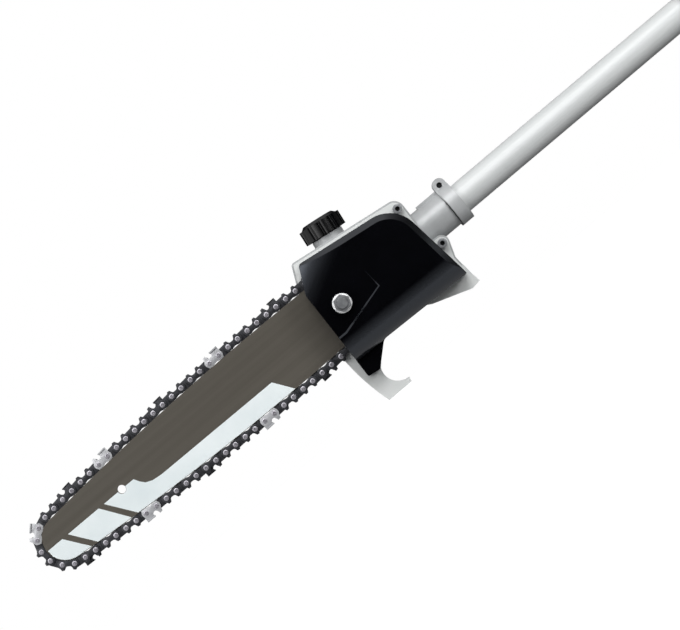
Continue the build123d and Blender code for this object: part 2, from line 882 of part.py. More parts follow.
def filler_plane(height):
    lean = radians(top_fall)
    normal = Vector(sin(lean), 0, cos(lean))
    foot = Vector(out_x + filler_x, filler_y, top_z(filler_x))
    return Plane(foot + normal * height, x_dir=(cos(lean), 0, -sin(lean)), z_dir=normal)


far_boss_y = far_bearing_end_y + bearing_wall
neck_r = inner_tube_r + neck_wall
pocket_reach = tension_travel + tension_block + 2 * free_gap
pocket_x = tension_hole_x - tension_block / 2 - free_gap
tension_head_x = front_x(tension_z) + tension_seat
strainer_y = pump_body_y + pump_body_length / 2
with BuildPart() as gear_housing:
    with BuildSketch(side(case_y)):
        add(case_face())
    extrude(amount=case_y - housing_far_y)
    fillet(gear_housing.faces().sort_by(Axis.Y)[-1].edges(), case_edge)
    with BuildSketch(side(housing_far_y)):
        Circle(far_bearing_r + bearing_wall)
    extrude(amount=housing_far_y - far_boss_y, taper=boss_draft)
    with BuildSketch(across(out_x + neck_start)):
        Circle(neck_r)
    extrude(amount=neck_end - neck_start)
    with BuildSketch(across(out_x + slit_start)):
        with Locations((0, neck_r - lip_height / 2)):
            Rectangle(2 * lip_half, 3 * lip_height)
    extrude(amount=neck_end - slit_start - ring_width)
    with BuildSketch(filler_plane(-tank_roof / 2)):
        Circle(filler_r)
    extrude(amount=tank_roof / 2 + filler_rise)
    with BuildSketch(side(case_y)):
        Circle(chamber_r)
        with Locations((pump_x, pump_z)):
            Circle(pump_tip_r + free_gap)
    extrude(amount=case_y - pump_body_y, mode=Mode.SUBTRACT)
    with BuildSketch(side(pump_body_y)):
        with Locations((pump_x, pump_z)):
            Circle(pump_body_r + seat_gap)
    extrude(amount=pump_body_y - pump_far_y, mode=Mode.SUBTRACT)
    with BuildSketch(side(case_y)):
        Circle(far_bearing_r + seat_gap)
    extrude(amount=case_y - far_bearing_end_y, mode=Mode.SUBTRACT)
    with BuildSketch(across(out_x)):
        Circle(inner_tube_r + pinion_room)
    extrude(amount=first_bearing_x - out_x, mode=Mode.SUBTRACT)
    with BuildSketch(across(first_bearing_x)):
        Circle(inner_tube_r + seat_gap)
    extrude(amount=out_x + neck_end - first_bearing_x, mode=Mode.SUBTRACT)
    with BuildSketch(across(out_x + slit_start)):
        with Locations((0, neck_r)):
            Rectangle(slit_width, 2 * neck_wall + 2 * lip_height)
    extrude(amount=neck_end - slit_start, mode=Mode.SUBTRACT)
    with BuildSketch(side(housing_far_y)):
        add(tank_face())
    extrude(amount=tank_depth, mode=Mode.SUBTRACT)
    with BuildSketch(filler_plane(filler_rise)):
        Circle(filler_bore_r)
    extrude(amount=-filler_rise - 2 * tank_roof, mode=Mode.SUBTRACT)
    with BuildSketch(across(out_x + tank_back_x, strainer_y, pump_z)):
        Circle(strainer_stub_r + seat_gap)
    extrude(amount=pump_x - tank_back_x, mode=Mode.SUBTRACT)
    with BuildSketch(side(case_y)):
        with Locations((stud_x, bar_z)):
            Circle(stud_r + seat_gap)
    extrude(amount=-stud_root, mode=Mode.SUBTRACT)
    with BuildSketch(side(case_y)):
        with Locations((pocket_x + pocket_reach / 2, tension_z)):
            Rectangle(pocket_reach, tension_block + 2 * free_gap)
    extrude(amount=-tension_y - tension_block / 2 - free_gap, mode=Mode.SUBTRACT)
    with BuildSketch(across(out_x + pocket_x, case_y + tension_y, tension_z)):
        Circle(tension_screw_r + running_gap)
    extrude(amount=tension_head_x - pocket_x, mode=Mode.SUBTRACT)
    with BuildSketch(across(out_x + tension_head_x, case_y + tension_y, tension_z)):
        Circle(tension_head_r + free_gap)
    extrude(amount=-2 * tension_head, mode=Mode.SUBTRACT)
    with BuildSketch(side(case_y)):
        with Locations(*screw_spots):
            Circle(screw_r + seat_gap)
    extrude(amount=-screw_length, mode=Mode.SUBTRACT)
    with BuildSketch(side(housing_far_y)):
        with Locations(*tank_screw_spots):
            Circle(tank_screw_r + seat_gap)
    extrude(amount=tank_screw_length, mode=Mode.SUBTRACT)
save(gear_housing.part, "gear_housing")


# Flange on the bar side: closes the gear case and carries the branch hook and the rear spur
def flange_face():
    with BuildSketch(Plane.XY) as face:
        add(joint_face())
        with BuildLine():
            Polyline(*rear_spur, close=True)
        make_face()
        with BuildLine():
            ThreePointArc(*hook_front)
            Polyline(hook_front[-1], *hook_tip)
            ThreePointArc(hook_tip[-1], *hook_throat)
            Polyline(hook_throat[-1], *hook_root, hook_front[0])
        make_face()
    return face.sketch


pin_slot = tension_travel + 2 * tension_pin_r + 2 * free_gap
with BuildPart() as hook_flange:
    with BuildSketch(side(gasket_y)):
        add(flange_face())
    extrude(amount=flange_thickness)
    with BuildSketch(side(gasket_y)):
        Circle(near_bearing_r + bearing_wall)
    extrude(amount=gasket_y - near_bearing_y)
    with BuildSketch(side(near_bearing_y)):
        Circle(near_bearing_r + seat_gap)
    extrude(amount=near_bearing_width, mode=Mode.SUBTRACT)
    with BuildSketch(side(case_y)):
        Circle(seal_r + seat_gap)
        with Locations((stud_x, bar_z)):
            Circle(stud_r + seat_gap)
        with Locations((tension_hole_x + tension_travel / 2, tension_z)):
            SlotOverall(pin_slot, 2 * tension_pin_r + 2 * free_gap)
        with Locations(*screw_spots):
            Circle(screw_r + free_gap)
    extrude(amount=case_y - flange_y, mode=Mode.SUBTRACT)
save(hook_flange.part, "hook_flange")

with BuildPart() as case_gasket:
    with BuildSketch(side(case_y)):
        add(joint_face())
        Circle(chamber_r, mode=Mode.SUBTRACT)
        with Locations((pump_x, pump_z)):
            Circle(pump_tip_r + free_gap, mode=Mode.SUBTRACT)
        with Locations((stud_x, bar_z)):
            Circle(stud_r + free_gap, mode=Mode.SUBTRACT)
        with Locations((pocket_x + pocket_reach / 2, tension_z)):
            Rectangle(pocket_reach, tension_block + 2 * free_gap, mode=Mode.SUBTRACT)
        with Locations(*screw_spots):
            Circle(screw_r + free_gap, mode=Mode.SUBTRACT)
    extrude(amount=gasket_thickness)
save(case_gasket.part, "case_gasket")


def cap_screw(plane, length, shank_r, head_r, head):
    with BuildPart() as made:
        with BuildSketch(plane):
            Circle(head_r)
            RegularPolygon(socket_share * head_r, 6, mode=Mode.SUBTRACT)
        extrude(amount=head)
        with BuildSketch(plane):
            Circle(head_r)
        extrude(amount=socket_floor_share * head)
        with BuildSketch(plane):
            Circle(shank_r)
        extrude(amount=-length)
    return made.part


def side_at(y, x, z):
    return Plane((out_x + x, y, z), x_dir=(1, 0, 0), z_dir=(0, -1, 0))


group(
    "flange_screws",
    *[
        cap_screw(side_at(flange_y, x, z), screw_length, screw_r, screw_head_r, screw_head)
        for x, z in screw_spots
    ],
)

with BuildPart() as tank_cover:
    with BuildSketch(side(housing_far_y)):
        add(tank_face())
        offset(amount=tank_cover_rim, kind=Kind.INTERSECTION)
        with Locations(*tank_screw_spots):
            Circle(tank_screw_r + running_gap, mode=Mode.SUBTRACT)
    extrude(amount=-tank_cover_thickness)
save(tank_cover.part, "tank_cover")
group(
    "tank_screws",
    *[
        cap_screw(
            Plane((out_x + x, housing_far_y + tank_cover_thickness, z), x_dir=(1, 0, 0), z_dir=(0, 1, 0)),
            tank_screw_length, tank_screw_r, tank_screw_head_r, tank_screw_head_r,
        )
        for x, z in tank_screw_spots
    ],
)

# Stud and nut that clamp the bar under the sprocket cover
with BuildPart() as bar_stud:
    with BuildSketch(side_at(case_y + stud_root, stud_x, bar_z)):
        Circle(stud_r)
    extrude(amount=case_y + stud_root - cover_y + nut_height + stud_end)
save(bar_stud.part, "bar_stud")

with BuildPart() as bar_nut:
    with BuildSketch(side_at(cover_y, stud_x, bar_z)):
        Circle(nut_flange_r)
    extrude(amount=nut_flange)
    with BuildSketch(side_at(cover_y, stud_x, bar_z)):
        RegularPolygon(nut_flats / 2, 6, major_radius=False, rotation=nut_turn)
    extrude(amount=nut_height)
    with BuildSketch(side_at(cover_y, stud_x, bar_z)):
        Circle(stud_r + seat_gap)
    extrude(amount=nut_height, mode=Mode.SUBTRACT)
save(bar_nut.part, "bar_nut")

guide_front_x = stud_x - guide_front
for name, plane_y, thickness in (
    ("inner_bar_guide", flange_y, guide_thickness),
    ("outer_bar_guide", bar_y - bar_half, outer_guide_thickness),
):
    with BuildPart() as bar_guide:
        with BuildSketch(side(plane_y)):
            with Locations(((guide_front_x + guide_back_x) / 2, bar_z)):
                RectangleRounded(guide_back_x - guide_front_x, 2 * guide_half, guide_corner)
            with Locations((stud_x, bar_z)):
                Circle(stud_r + free_gap, mode=Mode.SUBTRACT)
            with Locations((tension_hole_x + tension_travel / 2, tension_z)):
                SlotOverall(pin_slot, 2 * tension_pin_r + 2 * free_gap, mode=Mode.SUBTRACT)
        extrude(amount=thickness)
    save(bar_guide.part, name)


# Sprocket cover: a moulded shell over the chain, open to the flange and slotted for the bar. Its top and
# rear edges are bevelled, its front corner falls away and its lower half rolls over to a shallow tongue
cover_reach = 2 * hypot(*cover_outline[2])
cover_peak, cover_shoulder, cover_rear, cover_notch = (Vector(*spot) for spot in cover_outline[:4])
cover_brow_line = [
    cover_shoulder + (cover_peak - cover_shoulder).normalized() * cover_reach, cover_shoulder,
    cover_shoulder + (cover_rear - cover_shoulder).normalized() * cover_reach,
]
cover_low = (cover_rear - cover_notch).normalized()
cover_front = Vector(*cover_outline[-1])
cover_inward = (
    (cover_shoulder - cover_peak).normalized() + (cover_front - cover_peak).normalized()
).normalized()


def cover_face(wall):
    with BuildSketch(Plane.XY) as face:
        with BuildLine():
            FilletPolyline(*cover_outline, radius=cover_corners, close=True)
        make_face()
        offset(amount=-wall)
    return face.sketch


def brow_face(wall):
    with BuildSketch(Plane.XY) as face:
        with BuildLine():
            FilletPolyline(*cover_brow_line, radius=cover_corners[1])
            Polyline(cover_brow_line[2], (-2 * cover_reach, -2 * cover_reach), cover_brow_line[0])
        make_face()
        offset(amount=-wall)
    return face.sketch


def roll_plane(spot, heading):
    up = (-heading.Y, 0, heading.X)
    return Plane((out_x + spot.X, flange_y, spot.Y), x_dir=up, z_dir=(heading.X, 0, heading.Y))


def roll_face(wall):
    r, run, depth = roll_r - wall, roll_run - wall, cover_depth - wall
    lean = asin(run / r)
    middle = (roll_run - r * sin(lean / 2), depth - r + r * cos(lean / 2))
    foot = (wall, depth - r + r * cos(lean))
    with BuildSketch(Plane.XY) as face:
        with BuildLine():
            ThreePointArc((roll_run, depth), middle, foot)
            Polyline(
                foot, (wall, tongue_depth - wall), (-cover_reach, tongue_depth - wall), (-cover_reach, 0),
                (cover_reach, 0), (cover_reach, depth), (roll_run, depth),
            )
        make_face()
    return face.sketch


def corner_face(wall):
    r, depth = corner_roll_r - wall, cover_depth - wall
    with BuildSketch(Plane.XY) as face:
        with BuildLine():
            arc = CenterArc((0, depth - r), r, 90 - corner_sweep, corner_sweep)
            Polyline(arc @ 1, (-cover_reach, depth), (-cover_reach, 0), ((arc @ 0).X, 0), arc @ 0)
        make_face()
    return face.sketch


def cover_block(wall):
    with BuildPart() as brow:
        with BuildSketch(side(flange_y)):
            add(brow_face(wall))
        extrude(amount=cover_depth - wall - brow_depth)
        extrude(brow.faces().sort_by(Axis.Y)[0], amount=brow_depth, taper=brow_taper)
    corner_spot = cover_peak + cover_inward * corner_roll_run
    with BuildPart() as block:
        with BuildSketch(side(flange_y)):
            add(cover_face(wall))
        extrude(amount=cover_depth - wall, taper=cover_taper)
        add(brow.part, mode=Mode.INTERSECT)
        with BuildSketch(roll_plane(cover_notch, cover_low)):
            add(roll_face(wall))
        extrude(amount=cover_reach, both=True, mode=Mode.INTERSECT)
        with BuildSketch(roll_plane(corner_spot, Vector(-cover_inward.Y, cover_inward.X))):
            add(corner_face(wall))
        extrude(amount=cover_reach, both=True, mode=Mode.INTERSECT)
    return block.part


panel_z = panel_line[0][1]
panel_plane = side_at(cover_y, 0, panel_z).rotated((panel_tilt, 0, 0))
with BuildPart() as sprocket_cover:
    add(cover_block(0))
    add(cover_block(cover_wall), mode=Mode.SUBTRACT)
    with BuildSketch(panel_plane):
        with BuildLine():
            Polyline(*[(x, z - panel_z) for x, z in panel_line], close=True)
        make_face()
    extrude(amount=cover_wall, taper=-panel_draft, mode=Mode.SUBTRACT)
    with BuildSketch(side(flange_y)):
        with Locations((sum(cover_mouth) / 2, (cover_mouth_top + cover_mouth_foot) / 2)):
            Rectangle(cover_mouth[1] - cover_mouth[0], cover_mouth_top - cover_mouth_foot)
    extrude(amount=flange_y - bar_y + cover_slot, mode=Mode.SUBTRACT)
    with BuildSketch(side_at(outer_guide_y, stud_x, bar_z)):
        Circle(cover_boss_r)
    extrude(amount=outer_guide_y - cover_y)
    with BuildSketch(side_at(outer_guide_y, stud_x, bar_z)):
        Circle(stud_r + free_gap)
    extrude(amount=outer_guide_y - cover_y, mode=Mode.SUBTRACT)
save(sprocket_cover.part, "sprocket_cover")

# Bar tensioner: a screw along the bar moves a block whose pin sits in the bar
with BuildPart() as tension_block_part:
    with BuildSketch(across(out_x + tension_hole_x - tension_block / 2, case_y + tension_y, tension_z)):
        Rectangle(tension_block, tension_block)
        Circle(tension_screw_r + running_gap, mode=Mode.SUBTRACT)
    extrude(amount=tension_block)
    with BuildSketch(side_at(case_y + tension_y - tension_block / 2, tension_hole_x, tension_z)):
        Circle(tension_pin_r)
    extrude(amount=case_y + tension_y - tension_block / 2 - bar_y)
save(tension_block_part.part, "tension_block")

tension_screw_plane = across(out_x + tension_head_x - seat_gap, case_y + tension_y, tension_z)
with BuildPart() as tension_screw:
    with BuildSketch(tension_screw_plane):
        Circle(tension_head_r)
    extrude(amount=-tension_head)
    with BuildSketch(tension_screw_plane.offset(-tension_head)):
        Rectangle(tension_driver, 3 * tension_head_r)
    extrude(amount=socket_floor_share * tension_head, mode=Mode.SUBTRACT)
    with BuildSketch(tension_screw_plane):
        Circle(tension_screw_r)
    extrude(amount=pocket_x + pocket_reach - tension_head_x)
save(tension_screw.part, "tension_screw")

# Tube clamp ring round the split socket
ring_x = out_x + neck_end - ring_width
ring_mid_x = ring_x + ring_width / 2
ear_far_y = ring_ear_thickness + slit_width / 2
clamp_screw_plane = Plane((ring_mid_x, ear_far_y, ring_ear_rise), x_dir=(1, 0, 0), z_dir=(0, 1, 0))
with BuildPart() as clamp_ring:
    with BuildSketch(across(ring_x)):
        Circle(neck_r + ring_wall)
    extrude(amount=ring_width)
    with BuildSketch(Plane((ring_mid_x, 0, ring_ear_rise), x_dir=(1, 0, 0), z_dir=(0, -1, 0))):
        Circle(ring_ear_r)
        with Locations((0, -ring_ear_r / 2)):
            Rectangle(2 * ring_ear_r, ring_ear_r)
    extrude(amount=ear_far_y, both=True)
    with BuildSketch(across(ring_x)):
        Circle(neck_r + seat_gap)
        with Locations((0, neck_r + ring_ear_r)):
            Rectangle(slit_width, 2 * ring_ear_r + neck_r)
    extrude(amount=ring_width, mode=Mode.SUBTRACT)
    with BuildSketch(Plane((ring_mid_x, 0, ring_ear_rise), x_dir=(1, 0, 0), z_dir=(0, 1, 0))):
        Circle(ring_screw_r + seat_gap)
    extrude(amount=2 * ring_ear_r, both=True, mode=Mode.SUBTRACT)
    with BuildSketch(clamp_screw_plane):
        Circle(ring_screw_head_r + free_gap)
    extrude(amount=neck_r, mode=Mode.SUBTRACT)
save(clamp_ring.part, "clamp_ring")

clamp_screw_length = 2 * ear_far_y - ring_ear_thickness / 2
save(
    cap_screw(clamp_screw_plane, clamp_screw_length, ring_screw_r, ring_screw_head_r, ring_screw_head),
    "clamp_screw",
)

# Oil cap with its flat seal on the filler neck
save(
    ring(filler_plane(filler_rise + seat_gap), cap_seal - 2 * seat_gap, filler_r - seal_inset, filler_bore_r),
    "cap_seal",
)
cap_foot = filler_rise + cap_seal
with BuildPart() as oil_cap:
    with BuildSketch(filler_plane(cap_foot)):
        Circle(cap_r)
        with PolarLocations(cap_r + cap_notch_r - cap_notch, cap_lobes):
            Circle(cap_notch_r, mode=Mode.SUBTRACT)
    extrude(amount=cap_height)
    with BuildSketch(filler_plane(cap_foot + cap_height)):
        Circle(cap_r - cap_brow)
    extrude(amount=cap_dome, taper=cap_dome_taper)
    with BuildSketch(filler_plane(cap_foot)):
        Circle(cap_plug_r)
    extrude(amount=-cap_plug_length)
save(oil_cap.part, "oil_cap")

with BuildPart() as oil_strainer:
    with BuildSketch(across(out_x + tank_back_x, strainer_y, pump_z)):
        Circle(strainer_stub_r)
    extrude(amount=pump_x - tank_back_x - pump_body_r)
    with BuildSketch(across(out_x + tank_back_x, strainer_y, pump_z)):
        Circle(strainer_r)
    extrude(amount=-strainer_length)
save(oil_strainer.part, "oil_strainer")

# Tubes of the pole
save(ring(across(tube_top_x), tube_foot_x - tube_top_x, inner_tube_r, inner_tube_r - tube_wall), "inner_tube")
save(ring(across(outer_top_x), outer_tube_length, outer_tube_r, outer_tube_r - tube_wall), "outer_tube")

inner_bore_r = inner_tube_r - tube_wall
group(
    "shaft_bushes",
    *[
        ring(across(x), shaft_bush_length, inner_bore_r - seat_gap, drive_shaft_r + running_gap)
        for x in (tube_top_x + 2 * shaft_bush_length, hex_top_x - 2 * shaft_bush_length)
    ],
)
with BuildPart() as tube_foot:
    with BuildSketch(across(tube_foot_x)):
        Circle(inner_bore_r - seat_gap)
    extrude(amount=-foot_length)
    with BuildSketch(across(tube_foot_x)):
        Circle(outer_tube_r - tube_wall - running_gap)
    extrude(amount=foot_flange)
    with BuildSketch(across(tube_foot_x - foot_length)):
        Circle(sleeve_r + running_gap)
    extrude(amount=foot_length + foot_flange, mode=Mode.SUBTRACT)
save(tube_foot.part, "tube_foot")

with BuildPart() as guide_bush:
    with BuildSketch(across(outer_top_x)):
        Circle(outer_tube_r - tube_wall - seat_gap)
    extrude(amount=bush_length)
    with BuildSketch(across(outer_top_x)):
        Circle(outer_tube_r)
    extrude(amount=-bush_flange)
    with BuildSketch(across(outer_top_x - bush_flange)):
        Circle(inner_tube_r + running_gap)
    extrude(amount=bush_flange + bush_length, mode=Mode.SUBTRACT)
save(guide_bush.part, "guide_bush")

# Telescope lock: a split collar drawn together by a knob
ear_mid_x = outer_top_x + collar_grip / 2
ear_half = ear_thickness + collar_slit / 2
ear_drop = collar_r + knob_r + free_gap
knob_socket = knob_socket_share * knob_height
bolt_end_y = ear_half + lock_nut_height + lock_bolt_end


def lock_plane(y):
    return Plane((ear_mid_x, y, -ear_drop), x_dir=(1, 0, 0), z_dir=(0, -1, 0))


with BuildPart() as lock_collar:
    with BuildSketch(across(lock_face_x)):
        Circle(collar_r)
    extrude(amount=collar_lip + bush_flange + collar_grip)
    fillet(lock_collar.faces().filter_by(GeomType.PLANE).edges(), collar_edge)
    with BuildSketch(lock_plane(0)):
        with Locations((0, ear_drop / 4)):
            Rectangle(ear_width, ear_drop / 2)
        Circle(ear_width / 2)
    extrude(amount=ear_half, both=True)
    with BuildSketch(across(lock_face_x + collar_lip)):
        Circle(outer_tube_r + seat_gap)
    extrude(amount=bush_flange + collar_grip, mode=Mode.SUBTRACT)
    with BuildSketch(across(lock_face_x)):
        Circle(inner_tube_r + free_gap)
    extrude(amount=collar_lip, mode=Mode.SUBTRACT)
    with BuildSketch(across(lock_face_x)):
        with Locations((0, -ear_drop)):
            Rectangle(collar_slit, 2 * ear_drop - 2 * inner_tube_r)
    extrude(amount=collar_lip + bush_flange + collar_grip, mode=Mode.SUBTRACT)
    with BuildSketch(lock_plane(ear_half)):
        Circle(lock_bolt_r + running_gap)
    extrude(amount=2 * ear_half, mode=Mode.SUBTRACT)
save(lock_collar.part, "lock_collar")

with BuildPart() as lock_knob:
    with BuildSketch(lock_plane(-ear_half - free_gap)):
        Circle(knob_r)
        with PolarLocations(knob_r + knob_notch_r / 2, knob_lobes):
            Circle(knob_notch_r, mode=Mode.SUBTRACT)
    extrude(amount=knob_height)
    with BuildSketch(lock_plane(-ear_half - free_gap)):
        Circle(lock_bolt_r + seat_gap)
    extrude(amount=knob_socket, mode=Mode.SUBTRACT)
save(lock_knob.part, "lock_knob")

with BuildPart() as lock_bolt:
    with BuildSketch(lock_plane(bolt_end_y)):
        Circle(lock_bolt_r)
    extrude(amount=bolt_end_y + ear_half + free_gap + knob_socket)
save(lock_bolt.part, "lock_bolt")

with BuildPart() as lock_nut:
    with BuildSketch(lock_plane(ear_half)):
        RegularPolygon(lock_nut_flats / 2, 6, major_radius=False)
        Circle(lock_bolt_r + running_gap, mode=Mode.SUBTRACT)
    extrude(amount=-lock_nut_height)
save(lock_nut.part, "lock_nut")

# Lower end: coupling spigot, drive sleeve and its bush
with BuildPart() as coupling_spigot:
    with BuildSketch(across(0)):
        Circle(spigot_r)
    extrude(amount=spigot_length)
    with BuildSketch(across(-spigot_flange)):
        Circle(outer_tube_r)
    extrude(amount=spigot_flange)
    with BuildSketch(across(-spigot_flange - spigot_plug)):
        Circle(outer_tube_r - tube_wall - seat_gap)
    extrude(amount=spigot_plug)
    with BuildSketch(across(-spigot_flange - spigot_plug)):
        Circle(spigot_bore_r)
    extrude(amount=spigot_flange + spigot_plug + spigot_length, mode=Mode.SUBTRACT)
    with BuildSketch(Plane((button_x, 0, 0), x_dir=(1, 0, 0), z_dir=(0, 0, 1))):
        Circle(button_hole_r)
    extrude(amount=spigot_r, mode=Mode.SUBTRACT)
save(coupling_spigot.part, "coupling_spigot")

plug_plane = across(-spigot_flange - spigot_plug)
save(ring(plug_plane, lower_bush_length, spigot_bore_r - seat_gap, sleeve_r + running_gap), "lower_bush")
with BuildPart() as drive_sleeve:
    with BuildSketch(across(sleeve_top_x)):
        Circle(sleeve_r)
    extrude(amount=sleeve_foot - sleeve_top_x)
    for end_x, depth in (
        (sleeve_top_x, sleeve_foot - socket_depth - socket_web - sleeve_top_x), (sleeve_foot, -socket_depth),
    ):
        with BuildSketch(across(end_x)):
            RegularPolygon(drive_hex / 2 + running_gap, 6, major_radius=False)
        extrude(amount=depth, mode=Mode.SUBTRACT)
save(drive_sleeve.part, "drive_sleeve")

print(f"output shaft at x {out_x:.1f}, nose at x {out_x + nose_x:.1f}, bar plane y {bar_y:.2f}")
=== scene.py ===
import bmesh
import bpy
import json
from math import cos, hypot, pi, radians, sin
from mathutils import Matrix, Vector


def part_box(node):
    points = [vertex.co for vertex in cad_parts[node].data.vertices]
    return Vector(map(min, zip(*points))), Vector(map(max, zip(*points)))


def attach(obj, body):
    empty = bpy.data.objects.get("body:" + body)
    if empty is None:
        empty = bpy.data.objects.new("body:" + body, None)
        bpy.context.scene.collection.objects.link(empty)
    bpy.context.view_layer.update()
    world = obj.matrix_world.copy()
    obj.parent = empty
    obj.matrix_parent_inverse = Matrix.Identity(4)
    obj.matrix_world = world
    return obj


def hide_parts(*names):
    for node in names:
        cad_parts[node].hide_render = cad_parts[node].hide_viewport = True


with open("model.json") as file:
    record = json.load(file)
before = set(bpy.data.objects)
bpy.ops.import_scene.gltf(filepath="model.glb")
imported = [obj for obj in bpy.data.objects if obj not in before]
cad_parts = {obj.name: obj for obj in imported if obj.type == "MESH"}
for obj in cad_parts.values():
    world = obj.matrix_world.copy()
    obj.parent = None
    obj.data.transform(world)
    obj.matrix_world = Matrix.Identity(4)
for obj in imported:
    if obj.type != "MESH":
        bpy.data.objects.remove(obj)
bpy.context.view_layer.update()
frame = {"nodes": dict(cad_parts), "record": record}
nodes = frame["nodes"]
mm = 0.001
print("frame loaded:", len(nodes), "nodes")


def hexLinear(code):
    channels = [int(code[i:i + 2], 16) / 255 for i in (1, 3, 5)]
    return [c / 12.92 if c <= 0.04045 else ((c + 0.055) / 1.055) ** 2.4 for c in channels] + [1.0]


def addNode(tree, kind, inputs=None, links=None, **settings):
    node = tree.nodes.new(kind)
    for name, value in settings.items():
        setattr(node, name, value)
    for name, value in (inputs or {}).items():
        node.inputs[name].default_value = value
    for name, socket in (links or {}).items():
        tree.links.new(socket, node.inputs[name])
    return node


noise = {"grainDetail": 3.0, "cloudDetail": 4.0, "cloudLow": 0.3, "cloudHigh": 0.7}


# A finish has two tones in soft clouds, a grain that roughens it, and the same grain as a shallow bump.
# Where runMm is given, the grain is pulled into lines of that length along the pole.
# Where a zone is given, its tone takes over between two places on each axis named, in mm from the node's low corner
def makeFinish(name, look):
    material = bpy.data.materials.new(name)
    material.use_nodes = True
    tree = material.node_tree
    shader = tree.nodes["Principled BSDF"]
    for socket, value in look["shader"].items():
        shader.inputs[socket].default_value = value
    place = addNode(tree, "ShaderNodeTexCoord").outputs["Object"]
    pull = look["grainMm"] / look["runMm"] if "runMm" in look else 1.0
    lines = addNode(tree, "ShaderNodeMapping", {"Scale": (pull, 1.0, 1.0)}, {"Vector": place})
    grain = addNode(tree, "ShaderNodeTexNoise",
                    {"Scale": 1 / (look["grainMm"] * mm), "Detail": noise["grainDetail"]},
                    {"Vector": lines.outputs["Vector"]})
    cloud = addNode(tree, "ShaderNodeTexNoise",
                    {"Scale": 1 / (look["cloudMm"] * mm), "Detail": noise["cloudDetail"]},
                    {"Vector": lines.outputs["Vector"] if "runMm" in look else place})
    spread = addNode(tree, "ShaderNodeMapRange", {"From Min": noise["cloudLow"], "From Max": noise["cloudHigh"]},
                     {"Value": cloud.outputs["Fac"]})
    tone = addNode(tree, "ShaderNodeMix", {"A": hexLinear(look["deep"]), "B": hexLinear(look["pale"])},
                   {"Factor": spread.outputs["Result"]}, data_type="RGBA")
    if "zone" in look:
        axes = addNode(tree, "ShaderNodeSeparateXYZ", links={0: place})
        limit = {}
        for axis, corner in zip("XYZ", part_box(look["zone"]["node"])[0]):
            if axis in look["zone"]:
                start, stop = (corner + step * mm for step in look["zone"][axis])
                share = addNode(tree, "ShaderNodeMapRange", {"From Min": start, "From Max": stop},
                                {"Value": axes.outputs[axis], **limit})
                limit = {"To Max": share.outputs["Result"]}
        tone = addNode(tree, "ShaderNodeMix", {"B": hexLinear(look["zone"]["tone"])},
                       {"Factor": share.outputs["Result"], "A": tone.outputs["Result"]}, data_type="RGBA")
    rough = addNode(tree, "ShaderNodeMapRange", {"To Min": look["rough"][0], "To Max": look["rough"][1]},
                    {"Value": grain.outputs["Fac"]})
    bump = addNode(tree, "ShaderNodeBump", {"Distance": look["reliefMm"] * mm}, {"Height": grain.outputs["Fac"]})
    tree.links.new(tone.outputs["Result"], shader.inputs["Base Color"])
    tree.links.new(rough.outputs["Result"], shader.inputs["Roughness"])
    tree.links.new(bump.outputs["Normal"], shader.inputs["Normal"])
    return material


# Aluminium die cast, bead blasted and lacquered silver: an even pale grey with soft highlights.
# The blasting leaves dimples of a quarter millimetre, drawn at 0.7 mm so that they show from a step away
castAlloy = makeFinish("blastedCastAluminium", {
    "shader": {"Metallic": 0.05, "Specular IOR Level": 0.3}, "deep": "#d4d7d6", "pale": "#dddfde", "cloudMm": 16.0,
    "grainMm": 0.7, "rough": (0.36, 0.52), "reliefMm": 0.03,
})

# The gear case and its clamp ring, the same alloy left bare and tumbled: a darker grey with a dull shine.
# The tumbling leaves marks of a third of a millimetre, drawn at 0.8 mm so that they show
caseLook = {
    "shader": {"Metallic": 0.14, "Specular IOR Level": 0.25}, "deep": "#a9abac", "pale": "#b6b8b9", "cloudMm": 12.0,
    "grainMm": 0.8, "rough": (0.3, 0.42), "reliefMm": 0.015,
}
caseAlloy = makeFinish("tumbledCastAluminium", caseLook)

# The clamp ring, as the case, with painted shade at its end next to the case: a dark line in the seam, deeper
# towards the bottom, where the step's shadow falls
clampAlloy = makeFinish("tumbledClampAluminiumSeamShade", {
    **caseLook, "zone": {"node": "clamp_ring", "X": (1.3, 0.5), "Z": (30.0, 21.0), "tone": "#0c0c0c"},
})

# Aluminium tube, drawn and clear anodised: bright silver with faint lines along the draw.
# The lines are hair fine, drawn at 0.9 mm so that they show
tubeAlloy = makeFinish("drawnAnodisedAluminium", {
    "shader": {"Metallic": 0.1, "Specular IOR Level": 0.12}, "deep": "#c9cccc", "pale": "#d5d7d7", "cloudMm": 4.0,
    "grainMm": 0.9, "runMm": 70.0, "rough": (0.38, 0.5), "reliefMm": 0.008,
})

# Glass-filled nylon from a polished tool: deep black with a cool gloss and a faint flow of the melt
coverNylon = makeFinish("polishedBlackNylon", {
    "shader": {"Specular IOR Level": 0.56, "Specular Tint": hexLinear("#dce4f2")}, "deep": "#010102",
    "pale": "#030305", "cloudMm": 24.0,
    "grainMm": 1.1, "rough": (0.15, 0.21), "reliefMm": 0.002,
})

# The same nylon from a spark-eroded tool: black with a fine grain that the fingers hold on to
gripNylon = makeFinish("grainedBlackNylon", {
    "shader": {"Specular IOR Level": 0.3}, "deep": "#020203", "pale": "#050506", "cloudMm": 9.0,
    "grainMm": 0.6, "rough": (0.14, 0.22), "reliefMm": 0.012,
})

# Hardened bar steel, ground along its length and lacquered: a satin warm grey with long faint lines
barLacquer = makeFinish("lacqueredBarSteel", {
    "shader": {"Specular IOR Level": 0.25}, "deep": "#4b4740", "pale": "#524e47", "cloudMm": 5.0,
    "grainMm": 0.8, "runMm": 45.0, "rough": (0.4, 0.55), "reliefMm": 0.006,
})

# Enamel printed on the lacquer through a screen: a cool near-white, thin, with tiny pinholes
bandEnamel = makeFinish("screenPrintedEnamel", {
    "shader": {"Specular IOR Level": 0.3}, "deep": "#d9e2e4", "pale": "#e6edee", "cloudMm": 28.0,
    "grainMm": 0.8, "rough": (0.4, 0.52), "reliefMm": 0.006,
})

